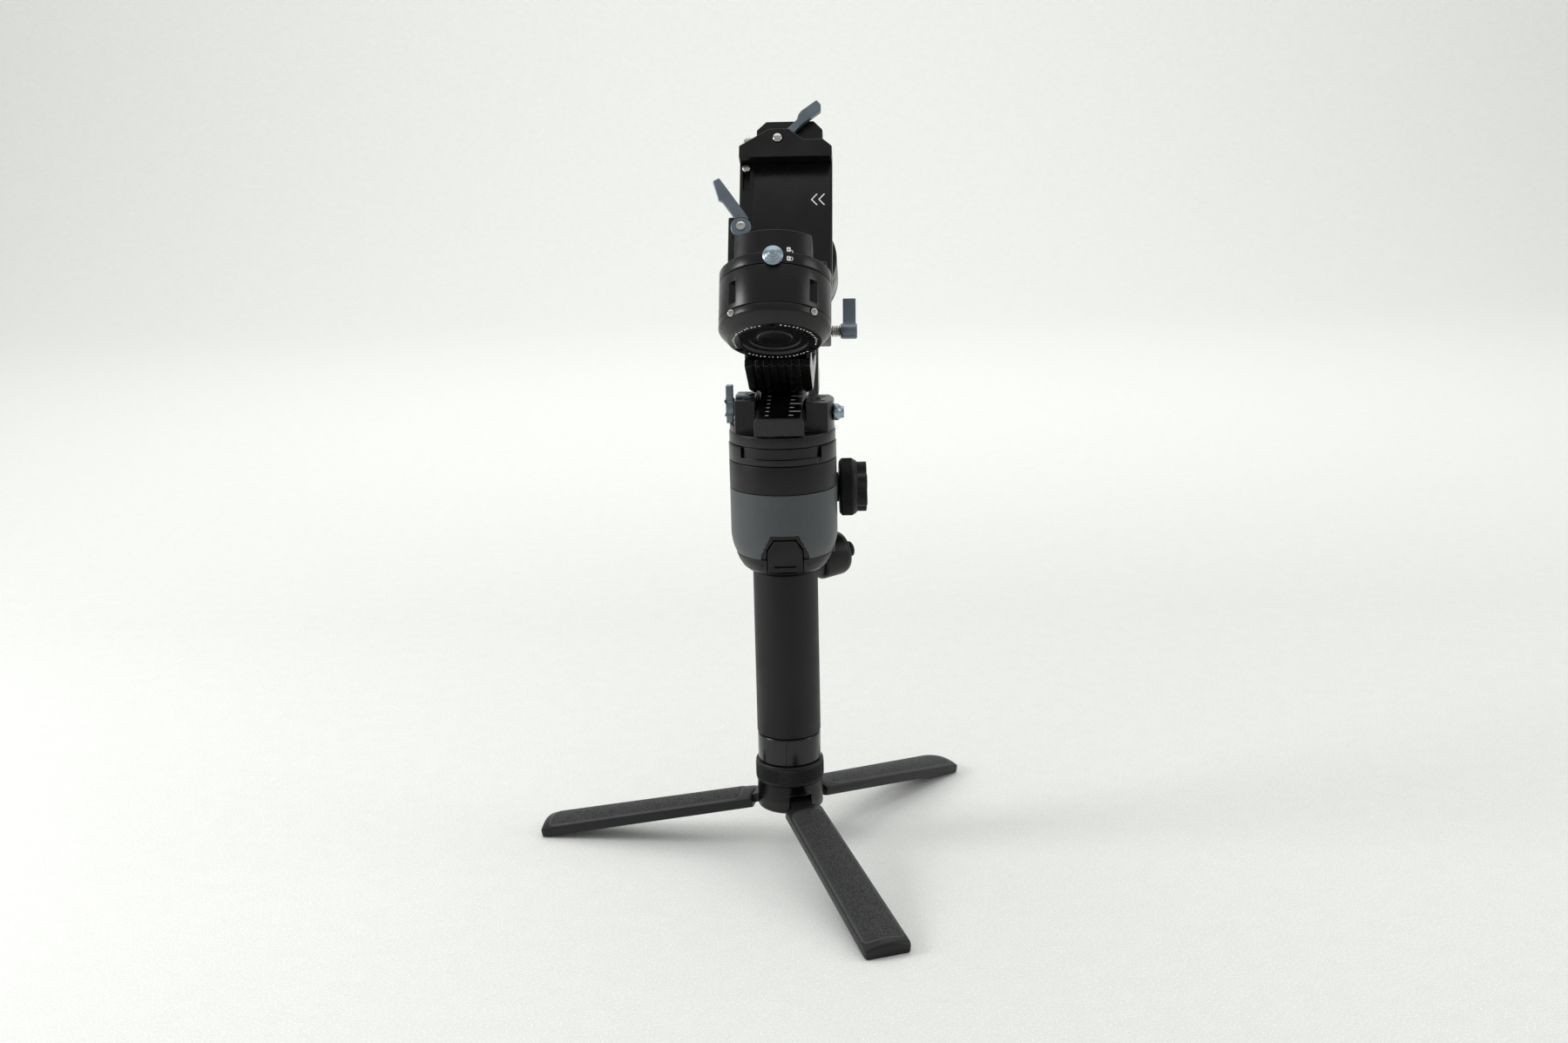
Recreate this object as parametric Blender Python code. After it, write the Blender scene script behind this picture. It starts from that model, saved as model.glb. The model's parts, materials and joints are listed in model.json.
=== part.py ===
"""Three-axis camera stabiliser on a folding desk tripod, modelled as separate pieces.

Sizes are written in millimetres and turned into metres by MM when a mesh is made.  +Z is up, the
handle's centre line is the world Z axis, the trigger side faces -Y, and z = 0 is the floor.
Three work frames are used: the handle (world), the pan frame (turned PAN_YAW about Z), and the
gimbal frame, whose Z runs up the tilt axis and whose Y runs back along the roll axis.
"""

import math

import bmesh
import bpy
from mathutils import Euler, Vector

MM = 0.001
ROOT_NAME = "part_root"
GAP = 0.3
SEGMENTS = 40
SMALL_SEGMENTS = 20

# Tripod
HUB_R = 19.9
HUB_BOTTOM = 28.4
HUB_TOP = 50.1
LEG_COUNT = 3
FIRST_LEG_ANGLE = math.radians(-71.2)
LEG_SLOPE = math.radians(11.5)
LEG_PIVOT_R = 12.5
LEG_PIVOT_Z = 34.3
LEG_START = 10.0
LEG_END = 148.0
LEG_ROOT_W = 22.6
LEG_TIP_W = 27.0
LEG_HALF_T = 4.5
PAD_T = 1.2
TONGUE_W = 12.6
SLOT_W = 13.6
PIN_R = 1.3

# Handle
RING_R = 20.7
RING_TOP = 58.4
COLLAR_R = 19.0
COLLAR_TOP = 75.6
GRIP_R = 19.2
GRIP_TOP = 178.6
GRIP_WALL = 2.4
CELL_R = 9.2
CELL_L = 65.0
BOLT_R = 4.76

# Body
BODY_R = 31.4
BODY_BOTTOM = 179.0
BAND_BOTTOM = 228.7
BODY_TOP = 245.2
SHELL_T = 2.4
SHELL_BOTTOM = 184.5
SHELL_BACK_Y = 9.0
REAR_W = 58.0
REAR_BACK_Y = 38.0
WHEEL_CENTRE = (33.4, 24.0, 220.5)
WHEEL_BOSS_R = 9.0

# Motors, shared by the pan, roll and tilt axes
MOTOR_R = 31.0
CUP_WALL = 3.0
SHAFT_R = 6.0
ROTOR_T = 6.6

# Pan axis
PAN_YAW = math.radians(-3.3)
PAN_GAP_Z = 255.3
PAN_TOWER_LEFT = 281.0
PAN_TOWER_RIGHT = 279.0
PAN_ARM_SLOPE = math.radians(10.0)
PAN_ARM_W = 28.4
PAN_ARM_T = 11.0
PAN_ARM_FRONT = -34.0
PAN_ARM_BACK = 86.0
RISER_W = 38.0
RISER_FRONT = 72.0
RISER_BACK = 103.0
RISER_BOTTOM = 268.0

# Gimbal frame: origin where the three axes meet
CENTRE_Z = 406.4
GIMBAL_TILT = math.radians(-30.85)

# Roll axis, along the gimbal frame's Y
ROLL_DISC_Y = 109.0
ROLL_CUP_L = 22.2
ROLL_CAP_L = 6.0
ROLL_ARM_W = 37.0
ROLL_ARM_T = 8.0
ROLL_ARM_Y = 96.6
ROLL_ARM_TOP = -22.0
ROLL_CLAMP_LOW = -58.5
ELBOW_BOTTOM = -104.0
ELBOW_T = 13.0
ELBOW_BEND_Y = 66.0
ELBOW_BEND_TOP = -71.5

# Tilt axis, along the gimbal frame's Z
TILT_DISC_TOP = -61.0
TILT_CUP_BOTTOM = -90.2
TILT_CAP_FACE = -100.5
TILT_CAP_FACE_R = 25.8
STOP_SCREW_Z = -92.8
STOP_SCREW_R = 1.9
TOWER_TOP = -48.0
TOWER_W = 42.0

# Camera platform, in the gimbal frame
PLATE_X = 4.2
PLATE_W = 53.3
PLATE_FRONT_Y = 20.0
PLATE_T = 6.0
PLATE_BOTTOM = -58.0
PLATE_TOP = 24.4
BED_LAND = 0.3
RELEASE_PIVOT = (-0.4, 30.2)


# ---------------------------------------------------------------- helpers

def clear_scene():
    """Remove every object so that the part starts from nothing."""
    for item in list(bpy.data.objects):
        bpy.data.objects.remove(item, do_unlink=True)


def srgb(code):
    """Turn a six-digit hex colour into linear channel values."""
    channels = []
    for start in (0, 2, 4):
        value = int(code[start:start + 2], 16) / 255.0
        linear = value / 12.92 if value <= 0.04045 else ((value + 0.055) / 1.055) ** 2.4
        channels.append(linear)
    return (*channels, 1.0)


def material(name, code, roughness, metallic):
    """One surface: colour, roughness and metallic value."""
    made = bpy.data.materials.new(name)
    made.use_nodes = True
    shader = made.node_tree.nodes["Principled BSDF"]
    shader.inputs["Base Color"].default_value = srgb(code)
    shader.inputs["Roughness"].default_value = roughness
    shader.inputs["Metallic"].default_value = metallic
    return made


def frame(name, location, rotation, parent=None):
    """An empty that carries pieces or marks a joint's axis."""
    empty = bpy.data.objects.new(name, None)
    bpy.context.scene.collection.objects.link(empty)
    empty.parent = parent if parent is not None or name == ROOT_NAME else bpy.data.objects[ROOT_NAME]
    empty.location = Vector(location) * MM
    empty.rotation_euler = Euler(rotation)
    return empty


def finish(name, bm, surface, parent=None, at=(0, 0, 0), turn=(0, 0, 0), smooth=True):
    """Turn a millimetre bmesh into a named object with its material and place."""
    bmesh.ops.remove_doubles(bm, verts=bm.verts, dist=0.0005)
    bmesh.ops.recalc_face_normals(bm, faces=bm.faces)
    bmesh.ops.scale(bm, vec=(MM, MM, MM), verts=bm.verts)
    mesh = bpy.data.meshes.new(name)
    bm.to_mesh(mesh)
    bm.free()
    if smooth:
        mesh.shade_smooth()
        mesh.set_sharp_from_angle(angle=math.radians(35.0))
    made = bpy.data.objects.new(name, mesh)
    bpy.context.scene.collection.objects.link(made)
    made.parent = parent if parent is not None else bpy.data.objects[ROOT_NAME]
    made.location = Vector(at) * MM
    made.rotation_euler = Euler(turn)
    if surface is not None:
        mesh.materials.append(surface)
    return made


def prism_mesh(outline, low, high):
    """A straight solid: an outline in X and Y taken from z = low to z = high."""
    bm = bmesh.new()
    corners = [bm.verts.new((x, y, low)) for x, y in outline]
    face = bm.faces.new(corners)
    grown = bmesh.ops.extrude_face_region(bm, geom=[face])
    lifted = [item for item in grown["geom"] if isinstance(item, bmesh.types.BMVert)]
    bmesh.ops.translate(bm, vec=(0, 0, high - low), verts=lifted)
    return bm


def lathe_mesh(profile, segments=SEGMENTS):
    """A turned solid about Z; profile is a closed loop of radius and height, or ends on the axis."""
    bm = bmesh.new()
    rings = []
    for radius, height in profile:
        if radius < 1e-6:
            rings.append([bm.verts.new((0, 0, height))])
            continue
        ring = []
        for step in range(segments):
            angle = 2 * math.pi * step / segments
            ring.append(bm.verts.new((radius * math.cos(angle), radius * math.sin(angle), height)))
        rings.append(ring)
    closed = len(rings[0]) > 1
    pairs = list(zip(rings, rings[1:]))
    if closed:
        pairs.append((rings[-1], rings[0]))
    for lower, upper in pairs:
        for step in range(segments):
            after = (step + 1) % segments
            if len(lower) == 1:
                bm.faces.new((lower[0], upper[step], upper[after]))
            elif len(upper) == 1:
                bm.faces.new((lower[step], upper[0], lower[after]))
            else:
                bm.faces.new((lower[step], upper[step], upper[after], lower[after]))
    return bm


def box_mesh(low, high, bevel=0.0):
    """A block between two corners, with its edges broken when bevel is given."""
    bm = bmesh.new()
    bmesh.ops.create_cube(bm, size=1.0)
    size = Vector(high) - Vector(low)
    bmesh.ops.scale(bm, vec=size, verts=bm.verts)
    bmesh.ops.translate(bm, vec=Vector(low) + size / 2, verts=bm.verts)
    if bevel > 0.0:
        bmesh.ops.bevel(bm, geom=bm.edges[:], offset=bevel, segments=1, profile=0.5,
                        affect="EDGES", material=-1)
    return bm


def boolean(target, tool, operation):
    """Add a live Boolean to target with a hidden wire-drawn tool."""
    step = target.modifiers.new(operation.title(), "BOOLEAN")
    step.operation = operation
    step.solver = "EXACT"
    step.object = tool
    tool.hide_render = True
    tool.display_type = "WIRE"
    return target


def cut(target, bm, parent=None, at=(0, 0, 0), turn=(0, 0, 0)):
    """Take a solid away from target."""
    tool = finish(target.name + "_cutter", bm, None, parent, at, turn, False)
    return boolean(target, tool, "DIFFERENCE")


def add(target, bm, parent=None, at=(0, 0, 0), turn=(0, 0, 0)):
    """Join a solid to target."""
    tool = finish(target.name + "_addition", bm, None, parent, at, turn, True)
    return boolean(target, tool, "UNION")


def rounded(width, depth, radius, centre=(0.0, 0.0), steps=4):
    """A rectangle outline with round corners, counter-clockwise."""
    points = []
    for corner, (sx, sy) in enumerate(((1, 1), (-1, 1), (-1, -1), (1, -1))):
        cx = centre[0] + sx * (width / 2 - radius)
        cy = centre[1] + sy * (depth / 2 - radius)
        for step in range(steps + 1):
            angle = math.pi / 2 * (corner + step / steps)
            points.append((cx + radius * math.cos(angle), cy + radius * math.sin(angle)))
    return points


def disc(radius, centre=(0.0, 0.0), count=SMALL_SEGMENTS):
    """A round outline."""
    return [
        (centre[0] + radius * math.cos(2 * math.pi * k / count),
         centre[1] + radius * math.sin(2 * math.pi * k / count))
        for k in range(count)
    ]


def segment(inner_x, half_angle, steps=6):
    """The part of the rotor's round outline that lies outside x = inner_x, on that side."""
    side = 1.0 if inner_x > 0 else -1.0
    radius = MOTOR_R - 0.5
    points = []
    for k in range(steps + 1):
        angle = half_angle * (2 * k / steps - 1)
        points.append((side * radius * math.cos(angle), radius * math.sin(angle)))
    reach = radius * math.sin(half_angle)
    points.append((inner_x, reach))
    points.append((inner_x, -reach))
    return points


def lobes(inner, outer, count, per_lobe=6):
    """A wavy round outline for a grip that fingers turn."""
    points = []
    total = count * per_lobe
    for k in range(total):
        angle = 2 * math.pi * k / total
        wave = 0.5 + 0.5 * math.cos(count * angle)
        radius = inner + (outer - inner) * wave
        points.append((radius * math.cos(angle), radius * math.sin(angle)))
    return points


def shrink(outline, inset):
    """A counter-clockwise outline moved inward by inset, corner by corner."""
    moved = []
    count = len(outline)
    for k in range(count):
        before = Vector(outline[k - 1])
        here = Vector(outline[k])
        after = Vector(outline[(k + 1) % count])
        first = (here - before).normalized()
        second = (after - here).normalized()
        inward = Vector((-first.y, first.x)) + Vector((-second.y, second.x))
        reach = inset / max(0.2, inward.length_squared / 2)
        moved.append(tuple(here + inward * reach))
    return moved


def tube_profile(outer, inner, low, high, chamfer=0.0):
    """A ring's profile with its outer edges broken."""
    return [
        (inner, low), (outer - chamfer, low), (outer, low + chamfer),
        (outer, high - chamfer), (outer - chamfer, high), (inner, high),
    ] if chamfer > 0 else [(inner, low), (outer, low), (outer, high), (inner, high)]


def rod_profile(radius, low, high, chamfer=0.4):
    """A solid round bar's profile with broken ends."""
    return [(0, low), (radius - chamfer, low), (radius, low + chamfer),
            (radius, high - chamfer), (radius - chamfer, high), (0, high)]


ALONG_X = (0.0, math.pi / 2, 0.0)
ALONG_Y = (-math.pi / 2, 0.0, 0.0)
FACING_FRONT = (math.pi / 2, 0.0, 0.0)


# ---------------------------------------------------------------- tripod

def leg_section(width, half_t, lift):
    """Leg cross-section: flat underside, upright walls, arched top."""
    half = width / 2
    points = [(-half * 0.84, -half_t), (half * 0.84, -half_t), (half, -half_t * 0.1)]
    steps = 6
    for k in range(steps + 1):
        share = 1 - 2 * k / steps
        points.append((half * 0.97 * share, half_t * (1 - 0.62 * share * share) + lift))
    points.append((-half, -half_t * 0.1))
    return points


def loft_mesh(sections):
    """A solid through matching closed sections, given as lists of 3-D points."""
    bm = bmesh.new()
    rings = [[bm.verts.new(p) for p in section] for section in sections]
    for near, far in zip(rings, rings[1:]):
        count = len(near)
        for k in range(count):
            after = (k + 1) % count
            bm.faces.new((near[k], near[after], far[after], far[k]))
    bm.faces.new(rings[0])
    bm.faces.new(rings[-1])
    return bm


def leg_width(distance):
    """Leg width at a distance from its pin."""
    share = (distance - LEG_START) / (LEG_END - LEG_START)
    return LEG_ROOT_W + (LEG_TIP_W - LEG_ROOT_W) * share


def leg_stations():
    """Distances from the pin, with a rounded tip, and the half thickness at each."""
    return [(LEG_START, 3.4), (LEG_START + 6.0, LEG_HALF_T), (80.0, LEG_HALF_T),
            (LEG_END - 3.0, LEG_HALF_T), (LEG_END, LEG_HALF_T - 0.7)]


def make_leg(index, surfaces, hinge):
    """One leg with the tongue that its pin passes through."""
    sections = []
    for distance, half_t in leg_stations():
        outline = leg_section(leg_width(distance), half_t, -PAD_T * 0.8)
        sections.append([(distance, y, z) for y, z in outline])
    leg = finish(f"tripod_leg_{index}", loft_mesh(sections), surfaces["leg"], hinge)
    tongue = [(LEG_START + 4.0, -3.0), (LEG_START + 4.0, 2.2), (0.0, 2.9)]
    for k in range(1, 8):
        angle = math.pi / 2 + math.pi * k / 8
        tongue.append((2.9 * math.cos(angle), 2.9 * math.sin(angle)))
    tongue.append((0.0, -2.9))
    add(leg, prism_mesh(tongue, -TONGUE_W / 2, TONGUE_W / 2), hinge, turn=FACING_FRONT)
    cut(leg, prism_mesh(disc(PIN_R + GAP), -TONGUE_W, TONGUE_W), hinge, turn=FACING_FRONT)
    return leg


def make_pad(index, surfaces, hinge):
    """The grained pad that covers a leg's arched top."""
    stations = (LEG_START + 9.0, 80.0, LEG_END - 5.5)
    sections = []
    for distance in stations:
        width = leg_width(distance) - 3.6
        steps = 6
        half = width / 2
        full = leg_width(distance) / 2 * 0.97
        top = []
        bottom = []
        for k in range(steps + 1):
            y = half * (1 - 2 * k / steps)
            arch = LEG_HALF_T * (1 - 0.62 * (y / full) ** 2)
            top.append((distance, y, arch + 0.15))
            bottom.append((distance, y, arch - PAD_T * 0.8 + GAP * 1.2))
        sections.append(top + bottom[::-1])
    return finish(f"leg_pad_{index}", loft_mesh(sections), surfaces["grain"], hinge)


def make_tripod(surfaces):
    """Hub, knurled ring, centre bolt, legs, pads and hinge pins."""
    profile = [(0, HUB_BOTTOM), (HUB_R - 1.5, HUB_BOTTOM), (HUB_R, HUB_BOTTOM + 1.5),
               (HUB_R, HUB_TOP - 0.5), (HUB_R - 0.5, HUB_TOP), (BOLT_R + 2.5, HUB_TOP),
               (BOLT_R + 2.5, HUB_TOP - 4.0), (0, HUB_TOP - 4.0)]
    hub = finish("tripod_hub", lathe_mesh(profile), surfaces["satin"])
    for index in range(LEG_COUNT):
        angle = FIRST_LEG_ANGLE + 2 * math.pi * index / LEG_COUNT
        place = (LEG_PIVOT_R * math.cos(angle), LEG_PIVOT_R * math.sin(angle), LEG_PIVOT_Z)
        upright = frame(f"leg_upright_{index + 1}", place, (0, 0, angle))
        hinge = frame(f"leg_hinge_{index + 1}", (0, 0, 0), (0, LEG_SLOPE, 0), upright)
        slot = box_mesh((-3.4, -SLOT_W / 2, HUB_BOTTOM - LEG_PIVOT_Z - 2.0), (12.0, SLOT_W / 2, 5.2))
        cut(hub, slot, upright)
        bore = prism_mesh(disc(PIN_R + GAP), -SLOT_W / 2 - 2.6, SLOT_W / 2 + 2.6)
        cut(hub, bore, upright, turn=FACING_FRONT)
        make_leg(index + 1, surfaces, hinge)
        make_pad(index + 1, surfaces, hinge)
        pin = lathe_mesh(rod_profile(PIN_R, -SLOT_W / 2 - 2.2, SLOT_W / 2 + 2.2, 0.2), 12)
        finish(f"leg_pin_{index + 1}", pin, surfaces["steel"], hinge, turn=FACING_FRONT)
    ring = tube_profile(RING_R, BOLT_R + 4.0, HUB_TOP + GAP, RING_TOP, 0.7)
    finish("tripod_lock_ring", lathe_mesh(ring), surfaces["rubber"])
    bolt = [(0, HUB_TOP - 3.6), (BOLT_R + 2.0, HUB_TOP - 3.6), (BOLT_R + 2.0, HUB_TOP - 1.0),
            (BOLT_R, HUB_TOP - 1.0), (BOLT_R, RING_TOP + 9.0), (BOLT_R - 0.8, RING_TOP + 10.0),
            (0, RING_TOP + 10.0)]
    finish("tripod_bolt", lathe_mesh(bolt, SMALL_SEGMENTS), surfaces["steel"])


# ---------------------------------------------------------------- handle

def make_handle(surfaces):
    """Collar, battery tube, two rubber covers and the two cells."""
    base = RING_TOP + GAP
    collar = [(BOLT_R + GAP, base), (COLLAR_R, base), (COLLAR_R, COLLAR_TOP),
              (BOLT_R + 2.0, COLLAR_TOP), (BOLT_R + 2.0, base + 12.0), (BOLT_R + GAP, base + 12.0)]
    finish("handle_collar", lathe_mesh(collar), surfaces["gloss"])
    low = COLLAR_TOP + GAP
    tube_r = GRIP_R - GRIP_WALL - GAP
    tube = [(0, low), (tube_r, low), (tube_r, GRIP_TOP), (CELL_R + 2.6, GRIP_TOP),
            (CELL_R + 2.6, low + 3.0), (0, low + 3.0)]
    finish("battery_tube", lathe_mesh(tube), surfaces["core"])
    cover = tube_profile(GRIP_R, GRIP_R - GRIP_WALL, low, GRIP_TOP - 0.6, 0.5)
    front = finish("grip_cover_front", lathe_mesh(cover), surfaces["rubber"])
    cut(front, box_mesh((-40, 9.0, 0), (40, 60, 260)))
    rear = finish("grip_cover_rear", lathe_mesh(cover), surfaces["rubber"])
    cut(rear, box_mesh((-40, -60, 0), (40, 9.0 + GAP, 260)))
    cell_low = low + 3.0 + GAP
    cell = [(0, cell_low), (CELL_R - 0.6, cell_low), (CELL_R, cell_low + 0.6),
            (CELL_R, cell_low + CELL_L - 0.6), (CELL_R - 0.6, cell_low + CELL_L),
            (3.0, cell_low + CELL_L), (3.0, cell_low + CELL_L + 1.2), (0, cell_low + CELL_L + 1.2)]
    finish("battery_cell", lathe_mesh(cell, SMALL_SEGMENTS), surfaces["cell"])
    board_low = cell_low + CELL_L + 3.0
    board = box_mesh((-9.0, -0.8, board_low), (9.0, 0.8, GRIP_TOP - 2.0))
    finish("battery_board", board, surfaces["board"])


# ---------------------------------------------------------------- body

def body_profile(inset):
    """Outer profile of the body below the band, inset by a wall thickness."""
    radius = BODY_R - inset
    points = [(radius, BAND_BOTTOM - GAP)]
    neck = GRIP_R + 0.6 - inset * 0.3
    for k in range(8):
        angle = math.pi / 2 * k / 7
        r = neck + (radius - neck) * math.cos(angle) ** 0.8
        points.append((r, 203.0 - (203.0 - SHELL_BOTTOM) * math.sin(angle)))
    return points


def make_body(surfaces):
    """Core with the top band, slate shell, rear housing and what sits on them."""
    inner = body_profile(SHELL_T + GAP)
    core = [(0, BODY_BOTTOM), (GRIP_R - 0.2, BODY_BOTTOM)]
    core.append((GRIP_R + 0.2, SHELL_BOTTOM - 1.0))
    core += [(r, z) for r, z in reversed(inner)]
    core += [(BODY_R - SHELL_T - GAP, BAND_BOTTOM), (BODY_R, BAND_BOTTOM), (BODY_R, BODY_TOP - 0.4),
             (BODY_R - 0.4, BODY_TOP), (0, BODY_TOP)]
    body = finish("body_core", lathe_mesh(core), surfaces["core"])
    cut(body, box_mesh((-REAR_W / 2, SHELL_BACK_Y, 170), (REAR_W / 2 + 4, 60, 240.0)))
    outer = body_profile(0.0)
    lining = body_profile(SHELL_T)
    shell = finish("body_shell", lathe_mesh(outer + lining[::-1]), surfaces["slate"])
    cut(shell, box_mesh((-50, SHELL_BACK_Y - GAP, 170), (50, 60, 240)))
    bezel = [(-14.0, 170.0), (14.0, 170.0), (13.6, 192.0), (8.0, 204.5), (-8.0, 204.5), (-13.6, 192.0)]
    cut(shell, prism_mesh(bezel, 10, 60), turn=FACING_FRONT)
    pocket = [(-10.6, 180.4), (10.6, 180.4), (10.6, 195.6), (6.4, 202.2), (-6.4, 202.2), (-10.6, 195.6)]
    cut(body, prism_mesh(pocket, 18.6, 60), turn=FACING_FRONT)
    make_trigger(surfaces)
    make_rear(surfaces)


def make_trigger(surfaces):
    """The front trigger, turning about a cross axis at its top."""
    hinge = frame("trigger_hinge", (0, -21.0, 200.0), (0, 0, 0))
    outline = [(-10.0, -18.8), (10.0, -18.8), (10.0, -4.8), (6.0, 1.6), (-6.0, 1.6), (-10.0, -4.8)]
    trigger = finish("trigger", prism_mesh(outline, 0.0, 9.2), surfaces["core"], hinge, turn=FACING_FRONT)
    nose = [(-12.0, -10.0), (-12.0, -24.0), (-3.6, -24.0), (-3.6, -19.2), (-9.4, -8.0)]
    sections = [[(x, y, z) for y, z in nose] for x in (-20.0, 20.0)]
    cut(trigger, loft_mesh(sections), hinge)
    cut(trigger, box_mesh((-6.2, -10.0, -6.6), (6.2, -8.6, -5.4)), hinge)
    return trigger


def make_rear(surfaces):
    """Rear housing with its window, buttons, wheel, thumb pod, stick and port cover."""
    low = 184.0
    high = 252.0
    depth = REAR_BACK_Y - SHELL_BACK_Y
    outline = rounded(REAR_W, depth + 8.0, 7.0, (1.2, REAR_BACK_Y - (depth + 8.0) / 2))
    rear = finish("rear_housing", prism_mesh(outline, low, 240.0 - GAP), surfaces["slate"])
    cut(rear, box_mesh((-50, -10, 170), (50, SHELL_BACK_Y + GAP, 260)))
    inside = box_mesh((-REAR_W / 2 + 3.4, 0.0, low + 3), (REAR_W / 2 - 1.0, REAR_BACK_Y - 3.2, 234.0))
    cut(rear, inside)
    hump = prism_mesh(rounded(44.0, 6.0, 2.9, (1.2, REAR_BACK_Y - 3.0)), 239.0, high)
    add(rear, hump)
    add(rear, lathe_mesh(rod_profile(WHEEL_BOSS_R, -4.4, -GAP, 0.5)), at=WHEEL_CENTRE, turn=ALONG_X)
    board = box_mesh((-24.0, 27.0, 190.0), (26.0, 28.6, 232.0))
    finish("main_board", board, surfaces["board"])
    make_window_and_buttons(rear, surfaces)
    make_focus_wheel(surfaces)
    make_thumb_pod(surfaces)


def make_window_and_buttons(rear, surfaces):
    """Small screen, three push buttons and the port cover on the housing's back."""
    face = REAR_BACK_Y
    screen = prism_mesh(rounded(26.0, 15.0, 2.0, (1.2, 240.0)), -face - 0.4, -face + 1.3)
    cut(rear, prism_mesh(rounded(26.6, 15.6, 2.3, (1.2, 240.0)), -face - 9, -face + 1.6), turn=FACING_FRONT)
    finish("display_window", screen, surfaces["glass"], turn=FACING_FRONT)
    spots = (("mode_button", -14.0, 221.0), ("menu_button", 1.2, 221.0), ("power_button", 16.4, 221.0))
    for name, x, z in spots:
        axis = frame(name + "_axis", (x, face, z), FACING_FRONT)
        cut(rear, prism_mesh(disc(4.5), -6.0, 5.0), axis)
        profile = [(0, -1.6), (4.1, -1.6), (4.1, 2.2), (0, 2.2)]
        finish(name, lathe_mesh(profile, SMALL_SEGMENTS), surfaces["rubber"], axis)
    port = prism_mesh(rounded(20.0, 9.0, 2.0, (1.2, 196.0)), -face - 0.5, -face + 1.2)
    cut(rear, prism_mesh(rounded(20.6, 9.6, 2.2, (1.2, 196.0)), -face - 9, -face + 1.5), turn=FACING_FRONT)
    finish("port_cover", port, surfaces["rubber"], turn=FACING_FRONT)


def make_focus_wheel(surfaces):
    """The knurled wheel on the right, with a lobed cap, on a cross axis."""
    axis = frame("focus_wheel_axis", WHEEL_CENTRE, ALONG_X)
    wheel = finish("focus_wheel", prism_mesh(disc(17.0, count=36), 0.0, 9.5), surfaces["rubber"], axis)
    add(wheel, prism_mesh(lobes(11.5, 15.2, 6), 9.0, 15.0), axis)
    cut(wheel, prism_mesh(disc(6.3), 11.0, 20.0), axis)
    hub = [(0, 11.4), (5.6, 11.4), (5.6, 13.6), (4.8, 14.4), (0, 14.4)]
    finish("focus_wheel_hub", lathe_mesh(hub, SMALL_SEGMENTS), surfaces["alloy"], axis)


def make_thumb_pod(surfaces):
    """The round pod behind the neck with the thumb stick on its face."""
    turn = (0.0, math.radians(85.0), math.radians(30.0))
    pod_axis = frame("thumb_pod_axis", (18.0, 18.0, 178.0), turn)
    profile = [(0, 0), (12.0, 0), (13.4, 2.0), (13.4, 18.0), (12.0, 21.0), (8.2, 22.0),
               (8.2, 17.0), (0, 17.0)]
    pod = finish("thumb_pod", lathe_mesh(profile, 32), surfaces["core"], pod_axis)
    cut(pod, lathe_mesh([(0, 100), (GRIP_R + GAP, 100), (GRIP_R + GAP, BODY_BOTTOM - GAP),
                         (GRIP_R + 8, BODY_BOTTOM - GAP), (GRIP_R + 8, 240), (0, 240)]))
    cut(pod, box_mesh((-60, -60, 184.0 - GAP), (REAR_W / 2 + 1.2 + GAP, REAR_BACK_Y + GAP, 260)))
    stick_axis = frame("thumb_stick_axis", (0, 0, 18.4), (0, 0, 0), pod_axis)
    cradle = tube_profile(5.4, 3.8, -0.5, 0.5)
    finish("thumb_stick_cradle", lathe_mesh(cradle, SMALL_SEGMENTS), surfaces["steel"], stick_axis)
    stick = [(0, 0.2), (3.2, 0.2), (3.2, 4.2), (4.6, 5.0), (4.6, 7.0), (3.8, 7.8), (0, 7.8)]
    finish("thumb_stick", lathe_mesh(stick, SMALL_SEGMENTS), surfaces["rubber"], stick_axis)
    return pod


# ---------------------------------------------------------------- motors

def motor_cup(name, low, high, surfaces, parent, turn=(0, 0, 0)):
    """A motor housing, open on its rotor side (the high end)."""
    inner = MOTOR_R - CUP_WALL
    profile = [(0, low), (MOTOR_R, low), (MOTOR_R, high - 0.5), (MOTOR_R - 0.5, high),
               (inner, high), (inner, low + 2.5), (0, low + 2.5)]
    return finish(name, lathe_mesh(profile), surfaces["satin"], parent, turn=turn)


def motor_core(name, low, high, surfaces, parent, turn=(0, 0, 0)):
    """The wound ring inside a motor."""
    profile = tube_profile(MOTOR_R - CUP_WALL - 1.0, SHAFT_R + 4.0, low, high)
    return finish(name, lathe_mesh(profile, 28), surfaces["copper"], parent, turn=turn)


def rotor_profile(low, shaft_low):
    """A rotor disc with its shaft, hanging down from the disc's top face."""
    top = low + ROTOR_T
    return [(0, shaft_low), (SHAFT_R, shaft_low), (SHAFT_R, low), (MOTOR_R - 0.4, low),
            (MOTOR_R, low + 0.4), (MOTOR_R, top - 0.6), (MOTOR_R - 0.6, top), (0, top)]


# ---------------------------------------------------------------- pan

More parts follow.
